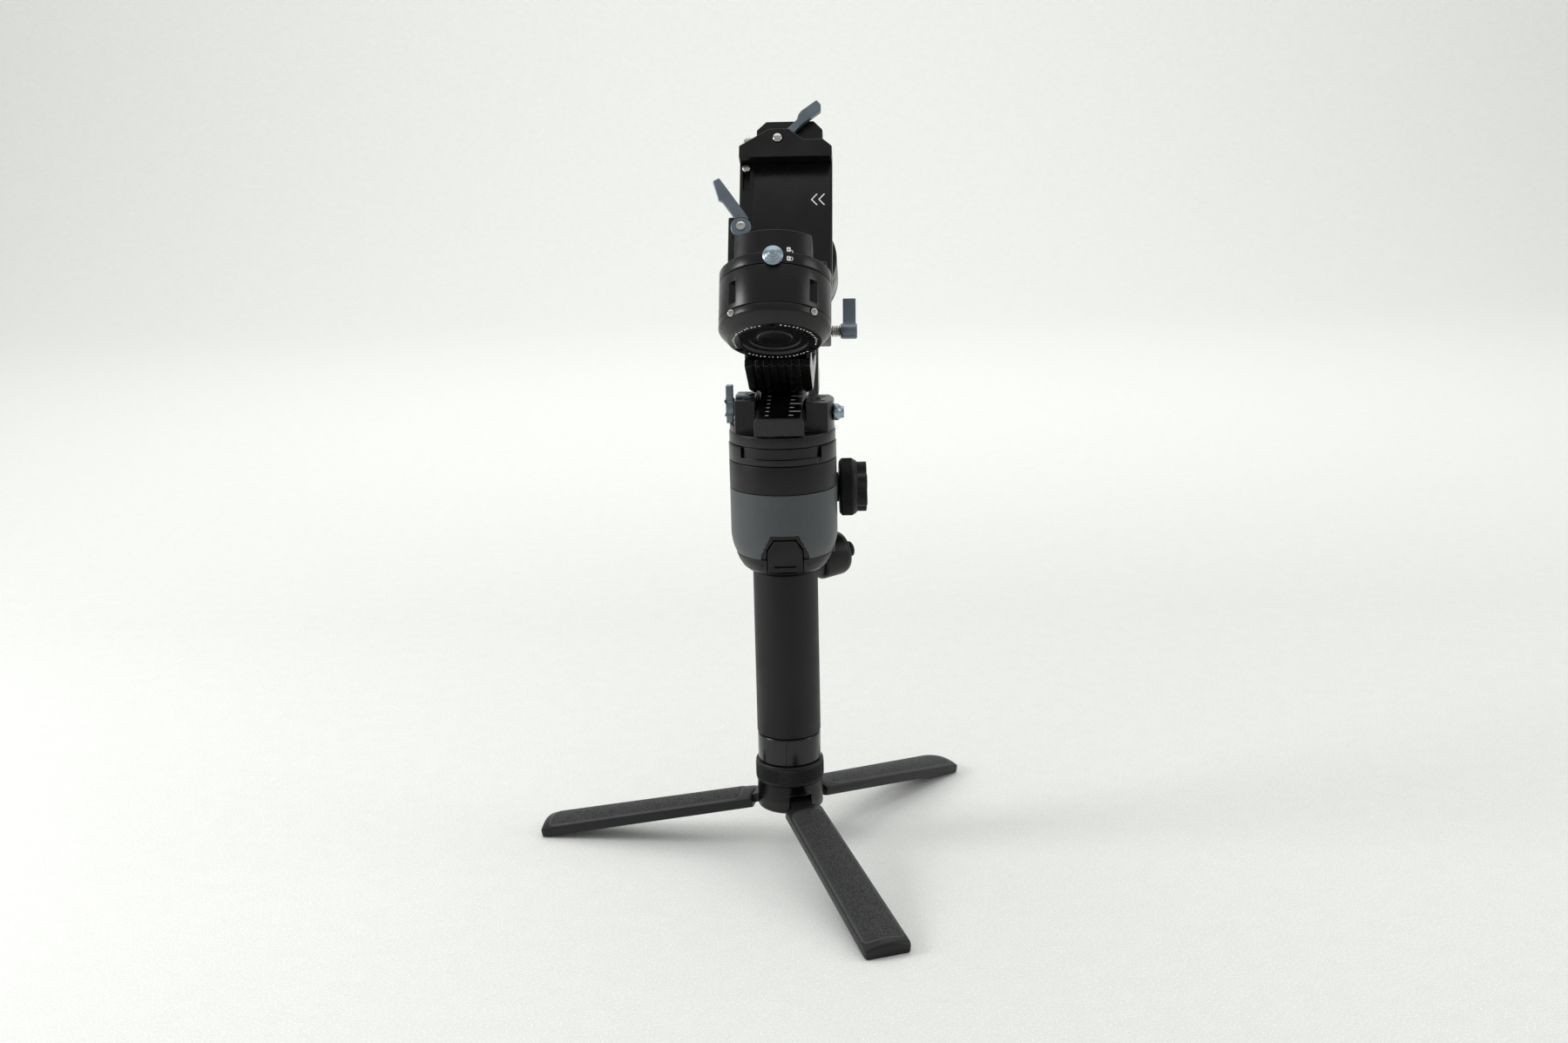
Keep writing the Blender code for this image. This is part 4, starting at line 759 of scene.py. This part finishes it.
def make_pan():
    """Stator ring, rotor with its two towers, lever, pull pin and the sliding arm."""
    ring = turned([(0, 245.5), (BODY_R - 0.2, 245.5), (BODY_R, 245.8), (BODY_R, 254.6), (BODY_R - 0.5, 255.2),
                   (28.0, 255.2), (28.0, 247.1), (0, 247.1)], ease=0.12)
    notch = carve(prism(disc(40.0), 249.1, 256.3), cut(prism(disc(29.9, count=96), 240.0, 260.0)),
                  meet(block((-24.0, -50.0, 240.0), (22.0, -10.0, 260.0))))
    back = block((-20.6, 31.6, 244.5), (23.0, 60.0, 256.3))
    keep("pan_ring", carve(ring, cut(notch), cut(back)), HANDLE, BLACK, "handle",
         ("pan_housing",), 0.3)
    slope = Matrix.Translation((0, 0, 279.8)) @ Matrix.Rotation(math.radians(10.0), 4, "X")
    channel = [(-14.5, -11.3), (14.5, -11.3), (14.5, 9.0), (-14.5, 9.0)]
    steps = [
        join(prism(tower(-14.5, math.radians(32.0)), 260.2, 281.0)),
        join(prism(tower(14.5, math.radians(28.0)), 260.2, 279.0)),
        cut(block((-40.0, -20.0, 266.2), (-26.5, 20.0, 290.0))),
        cut(placed(prism(channel, -60.0, 60.0), slope @ FRONT)),
        cut(placed(prism(disc(2.2), -8.0, 10.0), at(FLAT, 29.6, -3.0, 271.6, ALONG_X))),
        cut(block((17.6, -7.0, 277.9), (25.2, -5.2, 280.0))),
        cut(block((17.6, 5.2, 277.9), (25.2, 7.0, 280.0))),
    ]
    rotor = carve(turned(rotor_profile(255.6, 247.9), ease=0.15), *steps)
    keep("pan_rotor_body", rotor, PAN, BLACK, "pan_rotor", ("pan_rotor",), 0.35)
    for index, (x, y, z) in enumerate(((21.4, 0.0, 279.0), (-20.6, 6.0, 281.0), (-20.6, -10.5, 281.0))):
        keep(f"pan_tower_screw_{index + 1}", screw_head(1.7, 0.5, 0.9), at(PAN, x, y, z - 0.05), BLACK,
             "pan_rotor")
    axis = at(PAN, -26.8, -5.0, 275.6, ALONG_X)
    lever = carve(prism(disc(5.4), -4.9, -0.3), join(block((-12.8, -3.2, -4.9), (9.0, 3.2, -0.9), 0.5)),
                  cut(placed(hex_socket(1.5, 1.5), Matrix.Translation((0, 0, -4.9)) @ FRONT @ FRONT)))
    keep("pan_lever_body", lever, axis, GREY_BLUE, "pan_arm_lever", ("pan_arm_lever",), 0.5)
    strap = carve(block((-26.2, -8.0, 281.0), (-17.4, -2.2, 283.0), 0.6),
                  join(placed(turned([(0, 0), (2.9, 0), (2.9, 2.6), (0, 2.6)], SMALL_STEPS),
                                   Matrix.Translation((-18.0, -5.1, 281.0)))))
    keep("pan_clamp_strap", strap, PAN, GREY_BLUE, "pan_rotor", bevel=0.3)
    pin = turned([(0, -5.0), (1.8, -5.0), (1.8, 1.0), (4.9, 1.0), (4.9, 3.0), (3.9, 4.4), (3.5, 5.0), (3.3,
            6.6),
                  (1.2, 6.6), (0.9, 6.1), (0, 6.1)], SMALL_STEPS, 0.25)
    keep("pan_pin_body", pin, at(PAN, 29.6, -3.0, 271.6, ALONG_X), "steel_blue_alloy", "pan_lock_pin",
         ("pan_lock_pin",))
    refined("pan_arm", GLOSS, "pan_arm", 0.35)
    scale = PAN @ slope
    for row in range(6):
        y = -29.0 + row * 6.3
        for side, near, far in (("left", -8.0, -6.0), ("right", 5.5, 12.0 if row % 2 else 8.0)):
            tick = block((near, y - 0.3, 0.0), (far, y + 0.3, 0.04))
            keep(f"arm_tick_{row + 1}_{side}", tick, scale, INK, "pan_arm")


# ---------------------------------------------------------------- roll axis

def motor_cup(low, high):
    """A motor housing open at its high end."""
    return turned([(0, low), (MOTOR_R - 0.3, low), (MOTOR_R, low + 0.3), (MOTOR_R, high - 0.5),
            (MOTOR_R - 0.5, high),
                   (28.0, high), (28.0, low + 2.5), (0, low + 2.5)], ease=0.12)


def make_roll():
    """Roll motor, its rotor with the clamp block, the bent arm and the T-knob."""
    drive = GIMBAL @ FRONT
    keep("roll_motor_cup", motor_cup(-138.1, -115.9), drive, BLACK, "pan_arm", ("roll_housing",))
    cap = turned([(0, -144.4), (12.0, -144.4), (12.6, -143.9), (19.0, -143.9), (19.6, -144.4), (25.0, -144.4),
                  (MOTOR_R, -140.4), (MOTOR_R, -138.4), (0, -138.4)], ease=0.2)
    keep("roll_motor_cap", cap, drive, BLACK, "pan_arm", ("roll_cap",))
    for k in range(3):
        angle = math.radians(90 + 120 * k)
        place = at(drive, 22.4 * math.cos(angle), 22.4 * math.sin(angle), -144.3, ALONG_X @ ALONG_X)
        keep(f"roll_cap_screw_{k + 1}", screw_head(1.7, 0.5, 0.9), place, STEEL, "pan_arm")
    rotor = carve(turned(rotor_profile(-115.6, -134.9), ease=0.15),
                  join(placed(block((-27.6, 92.6, -58.5), (27.6, 111.0, -30.0), 1.2), FRONT.inverted())),
                  cut(placed(block((-18.8, 96.3, -90.0), (18.8, 104.9, -10.0)), FRONT.inverted())),
                  cut(placed(prism(disc(2.6), -12.0, 4.0),
                                        FRONT.inverted() @ at(FLAT, *ROLL_KNOB, ALONG_X))))
    keep("roll_rotor_body", rotor, drive, BLACK, "roll_rotor", ("roll_rotor",), 0.35)
    refined("roll_arm", GLOSS, "roll_arm", 0.3)
    side = [(23.0, -101.4), (23.0, -105.8), (64.0, -105.8), (64.0, -103.6), (29.0, -103.6), (27.0, -101.4)]
    cuts = [cut(prism([(-20.0, 56.0), (-20.0, 70.0), (-12.0, 70.0)], -120.0, -90.0)),
            cut(prism([(20.0, 56.0), (20.0, 70.0), (12.0, 70.0)], -120.0, -90.0))]
    for k in range(7):
        x = -13.2 + 4.4 * k
        cuts.append(cut(block((x - 0.85, 15.0, -110.0), (x + 0.85, 70.0, -104.5))))
        cuts.append(cut(block((x - 0.85, 15.0, -110.0), (x + 0.85, 24.2, -100.0))))
    keep("elbow_ribs", carve(placed(prism(side, -18.4, 18.4), SWEEP), *cuts), GIMBAL, BLACK,
         "roll_arm", bevel=0.35)
    axis = at(GIMBAL, *ROLL_KNOB, ALONG_X)
    barrel = turned([(0, -8.0), (2.2, -8.0), (2.2, 5.6), (4.2, 5.6), (4.6, 6.2), (4.6, 15.2), (4.2, 15.6),
            (1.6, 15.6),
                     (1.4, 15.2), (0, 15.2)], SMALL_STEPS)
    wing = prism([(3.7, -3.7), (3.7, 3.7), (-5.0, 2.6), (-12.0, 2.4), (-17.0, 3.4), (-20.0, 3.7), (-20.0,
            -3.7),
                  (-17.0, -3.4), (-12.0, -2.4), (-5.0, -2.6)], 7.0, 14.8)
    keep("t_knob_body", carve(barrel, join(wing)), axis, GREY_BLUE, "roll_arm_knob",
         ("roll_arm_knob",), 0.2)
    coils = bmesh.new()
    for k in range(4):
        loop = turned([(2.6, 0.0), (3.1, 0.5), (3.6, 0.0), (3.1, -0.5)], 32, 0.1, True)
        coils = together(coils, placed(loop, Matrix.Translation((0, 0, 0.9 + 1.3 * k))))
    keep("t_knob_spring", coils, axis, STEEL, "roll_arm_knob", sharp=60.0)


# ---------------------------------------------------------------- tilt axis

def make_tilt_motor():
    """Housing with its two slots, dished cap, stop screws and the dash ring on the cap."""
    slots = [cut(block((x - 2.2, -40.0, -87.2), (x + 2.2, -19.6, -74.4))) for x in (-22.3, 22.3)]
    keep("tilt_motor_cup", carve(motor_cup(-90.2, -67.9), *slots), GIMBAL, BLACK, "roll_arm",
         ("tilt_housing",), 0.2)
    cap = turned([(0, -99.0), (9.4, -99.0), (9.8, -98.5), (14.0, -98.5), (14.5, -99.3), (18.0, -99.3),
            (18.7, -100.5),
                  (25.8, -100.5), (30.4, -95.3), (MOTOR_R, -94.3), (MOTOR_R, -90.9), (30.7, -90.5), (0,
                          -90.5)],
                 ease=0.3)
    holes = [cut(placed(prism(disc(2.2), 19.6, 40.0), at(FLAT, x, 0, -92.8, FRONT))) for x in (-22.3, 22.3)]
    for k in range(3):
        angle = math.radians(-90 + 120 * k)
        holes.append(cut(placed(prism(disc(2.1), -103.0, -99.2), Matrix.Translation(
            (22.6 * math.cos(angle), 22.6 * math.sin(angle), 0)))))
        under = at(GIMBAL, 22.6 * math.cos(angle), 22.6 * math.sin(angle), -99.2, ALONG_X @ ALONG_X)
        keep(f"tilt_cap_screw_{k + 1}", screw_head(1.8, 0.8, 1.0), under, BLACK, "roll_arm")
    keep("tilt_motor_cap", carve(cap, *holes), GIMBAL, BLACK, "roll_arm", ("tilt_cap",), 0.15)
    dashes = bmesh.new()
    for start, count in ((-78, 16), (42, 16), (162, 16)):
        for k in range(count):
            dash = block((22.3, -0.55, -100.55), (23.0 if k % 4 else 23.6, 0.55 if k % 2 else 0.1, -100.5))
            placed(dash, Matrix.Rotation(math.radians(start + 6 * k), 4, "Z"))
            dashes = together(dashes, dash)
    keep("tilt_cap_dashes", dashes, GIMBAL, INK, "roll_arm")
    for side, x in (("left", -22.3), ("right", 22.3)):
        head = turned([(0, 19.9), (1.9, 19.9), (1.9, 22.3), (1.6, 22.6), (0, 22.6)], SMALL_STEPS, 0.2)
        socket = placed(hex_socket(1.0, 1.0), Matrix.Translation((0, 0, 22.6)))
        keep(f"tilt_stop_{side}", carve(head, cut(socket)), at(GIMBAL, x, 0, -92.8, FRONT),
             STEEL, "roll_arm", (f"tilt_stop_screw_{side}",))


def make_tilt_rotor():
    """Rotor with its front tower and rear clamp, the lock knob and the padlock marks."""
    face = []
    half_angle = math.asin(21.0 / 30.7)
    for k in range(25):
        angle = -math.pi / 2 + half_angle * (1 - k / 12)
        face.append((30.7 * math.cos(angle), 30.7 * math.sin(angle)))
    dovetail = [(20.5, -53.1), (14.1, -51.7), (14.1, -57.5), (20.5, -56.1)]
    rotor = carve(turned(rotor_profile(-67.6, -87.0), ease=0.15),
                  join(prism([(-21.0, 12.0), (21.0, 12.0)] + face, -63.0, -48.0)),
                  join(block((-26.9, 6.0, -62.5), (28.0, 18.4, -50.0), 0.8)),
                  join(block((-27.3, 6.0, -62.0), (-15.0, 18.4, -22.0), 1.0)),
                  cut(placed(prism(dovetail, -60.0, 60.0), SWEEP)),
                  cut(placed(prism(disc(2.6), -12.0, 4.0), at(FLAT, *TILT_LOCK, FRONT))))
    keep("tilt_rotor_body", rotor, GIMBAL, BLACK, "tilt_rotor", ("tilt_rotor",), 0.4)
    knob = turned([(0, -9.0), (2.2, -9.0), (2.2, 0.8), (5.3, 0.8), (5.6, 1.1), (5.6, 2.2), (4.6, 2.7), (4.3,
            3.6),
                   (3.4, 4.0), (3.1, 4.9), (2.0, 5.3), (1.7, 5.8), (0, 5.8)], 56, 0.18)
    keep("tilt_lock_body", knob, at(GIMBAL, *TILT_LOCK, FRONT), "steel_blue_alloy", "tilt_lock_knob",
         ("tilt_lock_knob",))
    lean = math.asin(8.9 / 30.7)
    for name, z, face, shift in (("open", -59.6, 30.72, 1.3), ("closed", -65.0, 31.02, 0.0)):
        body = carve(prism(soft_box(2.6, 2.2, 0.4, (0.0, 0.0)), 0.0, 0.06),
                     cut(prism(disc(0.4, count=12), -1.0, 1.0)))
        arc = turned([(0.75, 0.0), (1.15, 0.0), (1.15, 0.06), (0.75, 0.06)], 24, 0.01, True)
        bmesh.ops.bisect_plane(arc, geom=arc.verts[:] + arc.edges[:] + arc.faces[:], plane_co=(0, 0, 0),
                               plane_no=(0, -1, 0), clear_outer=True)
        shackle = placed(arc, Matrix.Translation((shift, 1.3, 0)))
        place = (GIMBAL @ Matrix.Rotation(lean, 4, "Z") @ Matrix.Translation((0.0, -face, z)) @ FRONT
                 @ Matrix.Rotation(-math.pi / 2, 4, "Z"))
        keep(f"padlock_{name}", together(body, shackle), place, INK, "tilt_rotor")


def make_platform():
    """Camera bed with its chevrons, safety pin, jaw block, jaw, lever and pivot."""
    left = -22.45
    right = 30.85
    plate = carve(block((left, 20.0, -58.0), (right, 26.0, 24.4), 0.7),
                  join(block((-14.4, 19.7, -49.0), (right - 1.0, 21.0, 17.2), 0.25)),
                  join(placed(prism([(20.5, -53.4), (14.4, -52.0), (14.4, -57.2), (20.5, -55.8)],
                                         left + 1.5, right - 1.5), SWEEP)),
                  cut(placed(prism(soft_box(3.8, 16.0, 1.8, (-18.6, 9.0)), -23.6, 60.0), FRONT)))
    keep("camera_bed_plate", plate, GIMBAL, BLACK, "camera_platform", ("camera_platform",), 0.25)
    outline = [(left, 18.0), (right, 18.0), (right, 24.5), (right - 5.0, 29.0), (15.0, 29.0), (10.0, 32.6),
               (6.0, 36.0), (-5.6, 36.0), (left, 25.5)]
    jaw_block = carve(prism(outline, -19.7, -11.0), cut(prism(disc(3.1, (-0.4, 30.2)), -60.0, 0.0)))
    keep("release_block_body", jaw_block, GIMBAL @ FRONT, BLACK, "camera_platform",
         ("release_block",), 0.5)
    outline = [(-13.5, 12.0), (25.0, 12.0), (25.0, 43.5), (19.8, 49.2), (-8.0, 49.2), (-13.5, 43.8)]
    jaw = carve(prism(outline, -33.3, -26.3),
                cut(prism(soft_box(6.4, 9.6, 3.1, (-0.4, 29.2)), -60.0, 0.0)))
    keep("release_jaw_body", jaw, GIMBAL @ FRONT, BLACK, "release_jaw", ("release_jaw",), 0.6)
    blade = [(4.4, -1.5), (9.1, 9.4), (14.4, 14.9), (24.5, 22.8), (24.5, 26.9), (22.0, 29.8),
             (12.9, 22.8), (11.4, 20.4), (10.6, 17.3), (3.9, 10.2), (-3.2, 3.0)]
    lever = carve(prism(disc(5.2), 0.0, 5.2), join(prism(blade, 0.7, 4.6)),
                  cut(prism(disc(3.1), -10.0, 20.0)))
    keep("release_lever_body", lever, at(GIMBAL, -0.4, 25.6, 30.2, FRONT), GREY_BLUE, "release_lever",
         ("release_lever",), 0.6)
    blade = [(4.9, 2.9), (3.6, 6.5), (-11.4, 28.6), (-12.8, 30.6), (-16.5, 28.6), (-13.1, 17.2),
             (-10.6, 15.6), (-3.3, 4.9), (-5.2, 2.0)]
    lever = carve(prism(disc(5.8), 0.0, 4.2), join(prism(blade, 0.6, 3.8)))
    keep("tilt_lever_body", lever, at(GIMBAL, -19.8, 5.7, -30.0, FRONT), GREY_BLUE, "tilt_arm_lever",
         ("tilt_arm_lever",), 0.6)
    for k, x in enumerate((18.6, 22.8)):
        for side in (-1, 1):
            stroke = [(x, -5.1), (x + 0.9, -5.1), (x + 4.0, -5.1 + 3.5 * side), (x + 3.1, -5.1 + 3.5 * side)]
            half = "upper" if side > 0 else "lower"
            keep(f"chevron_{k + 1}_{half}", prism(stroke, -19.68, -19.62), GIMBAL @ FRONT, INK,
                 "camera_platform")
    pivot = turned([(0, -32.9), (2.8, -32.9), (2.8, -10.8), (2.2, -10.2), (0, -10.0)], SMALL_STEPS, 0.4)
    keep("release_pivot_body", placed(pivot, Matrix.Scale(-1, 4, (0, 0, 1))), at(GIMBAL, -0.4, 0, 30.2, FRONT)
         @ Matrix.Scale(-1, 4, (0, 0, 1)), STEEL, "camera_platform", ("release_pivot",))
    pin = turned([(0, -27.0), (1.4, -27.0), (1.4, -19.7), (2.3, -19.7), (2.3, -17.6), (1.9, -17.1), (0,
            -17.1)],
                 SMALL_STEPS, 0.2)
    keep("safety_pin_body", pin, at(GIMBAL, -18.6, 0, 14.6, FRONT), STEEL, "safety_pin",
         ("safety_pin",))
    stub = turned([(0, -33.0), (2.0, -33.0), (2.0, -25.6), (3.0, -25.6), (3.0, -23.0), (2.6, -22.4), (0,
            -22.4)],
                  SMALL_STEPS, 0.2)
    keep("jaw_guide_screw", stub, at(GIMBAL, -17.8, 0, 34.5, FRONT), STEEL, "camera_platform")
    keep("jaw_guide_post", block((-20.8, 27.0, 17.5), (-14.8, 32.4, 37.0), 0.8), GIMBAL, BLACK,
         "camera_platform")
    bolt = carve(turned([(0, 0), (2.6, 0), (2.6, 0.8), (0, 0.8)], SMALL_STEPS, 0.2),
                 cut(placed(hex_socket(1.5, 0.7), Matrix.Translation((0, 0, 0.8)))))
    keep("tilt_lever_bolt", bolt, at(GIMBAL, -19.8, 5.7 - 4.2, -30.0, FRONT), STEEL, "tilt_arm_lever")


# ---------------------------------------------------------------- stage

def make_stage():
    """Pale sweep, soft lamps and the camera."""
    floor = Finish("pale_paper", "f1f2ef", 0.85, grain=1.2, depth=0.01, mottle=0.01)
    profile = [(-6.0, 0.0)] + [(2.4, 0.0)]
    profile += [(2.4 + 1.6 * math.sin(math.pi * k / 40),
            1.6 - 1.6 * math.cos(math.pi * k / 40)) for k in range(1, 21)]
    profile.append((4.0, 6.0))
    bm = bmesh.new()
    chain = [bm.verts.new((-6.0, y, z)) for y, z in profile]
    edges = [bm.edges.new(pair) for pair in zip(chain, chain[1:])]
    grown_edges = bmesh.ops.extrude_edge_only(bm, edges=edges)
    far = [item for item in grown_edges["geom"] if isinstance(item, bmesh.types.BMVert)]
    bmesh.ops.translate(bm, vec=(12.0, 0, 0), verts=far)
    mesh = bpy.data.meshes.new("sweep")
    bm.to_mesh(mesh)
    bm.free()
    mesh.materials.append(floor.material)
    mesh.shade_smooth()
    sweep = bpy.data.objects.new("sweep", mesh)
    bpy.context.scene.collection.objects.link(sweep)
    sweep.location.z = -0.0004

    bpy.context.scene.view_settings.view_transform = "Standard"
    world = bpy.data.worlds.new("soft_room")
    bpy.context.scene.world = world
    world.use_nodes = True
    sky = world.node_tree.nodes["Background"]
    sky.inputs["Color"].default_value = (0.95, 0.97, 0.96, 1.0)
    sky.inputs["Strength"].default_value = 0.45

    middle = Vector((0.02, 0.02, 0.2))
    lamps = (("overhead", (0.0, 0.7, 2.6), 3.4, 27.0, middle), ("left_strip", (-1.4, -0.2, 0.8), 0.6, 10.0,
            middle),
             ("right_strip", (1.7, -0.2, 0.9), 0.9, 5.0, middle),
             ("backdrop", (0.0, 1.3, 3.1), 4.4, 54.0, Vector((0.0, 4.0, 2.4))))
    for name, spot, size, power, target in lamps:
        lamp = bpy.data.lights.new(name, "AREA")
        lamp.shape = "DISK"
        lamp.size = size
        lamp.energy = power
        holder = bpy.data.objects.new(name, lamp)
        bpy.context.scene.collection.objects.link(holder)
        holder.location = spot
        holder.rotation_euler = (target - Vector(spot)).to_track_quat("-Z", "Y").to_euler()

    eye = bpy.data.cameras.new("view")
    eye.sensor_width = 36.0
    eye.lens = 40.8
    eye.clip_start = 0.05
    eye.dof.use_dof = False
    camera = bpy.data.objects.new("view", eye)
    bpy.context.scene.collection.objects.link(camera)
    pitch = math.radians(14.0)
    lean = math.radians(-1.32)
    ahead = Vector((0, math.cos(pitch), -math.sin(pitch)))
    side = Vector((1, 0, 0))
    up = side.cross(ahead)
    right = side * math.cos(lean) + up * math.sin(lean)
    top = up * math.cos(lean) - side * math.sin(lean)
    spot = HANDLE.translation * MM + Vector((-0.0002, -1.018, 0.4596))
    camera.matrix_world = Matrix((
        (right.x, top.x, -ahead.x, spot.x), (right.y, top.y, -ahead.y, spot.y),
        (right.z, top.z, -ahead.z, spot.z), (0, 0, 0, 1)))
    bpy.context.scene.camera = camera


INNER = {
    STEEL: ("tripod_bolt", "leg_pin_1", "leg_pin_2", "leg_pin_3", "thumb_stick_cradle"),
    CORE: ("battery_tube",),
    "cell_wrap": ("battery_cell",),
    "green_board": ("battery_board", "main_board"),
    "enamelled_copper": ("pan_core", "roll_core", "tilt_core"),
}


def dress_inner():
    """Give the inner pieces, kept as solids, their finishes."""
    for finish, names in INNER.items():
        for name in names:
            mesh = NODES[name].data
            mesh.materials.clear()
            mesh.materials.append(FINISHES[finish])


dress_inner()
make_tripod()
make_handle()
make_body()
make_rear()
make_pan()
make_roll()
make_tilt_motor()
make_tilt_rotor()
make_platform()
make_stage()
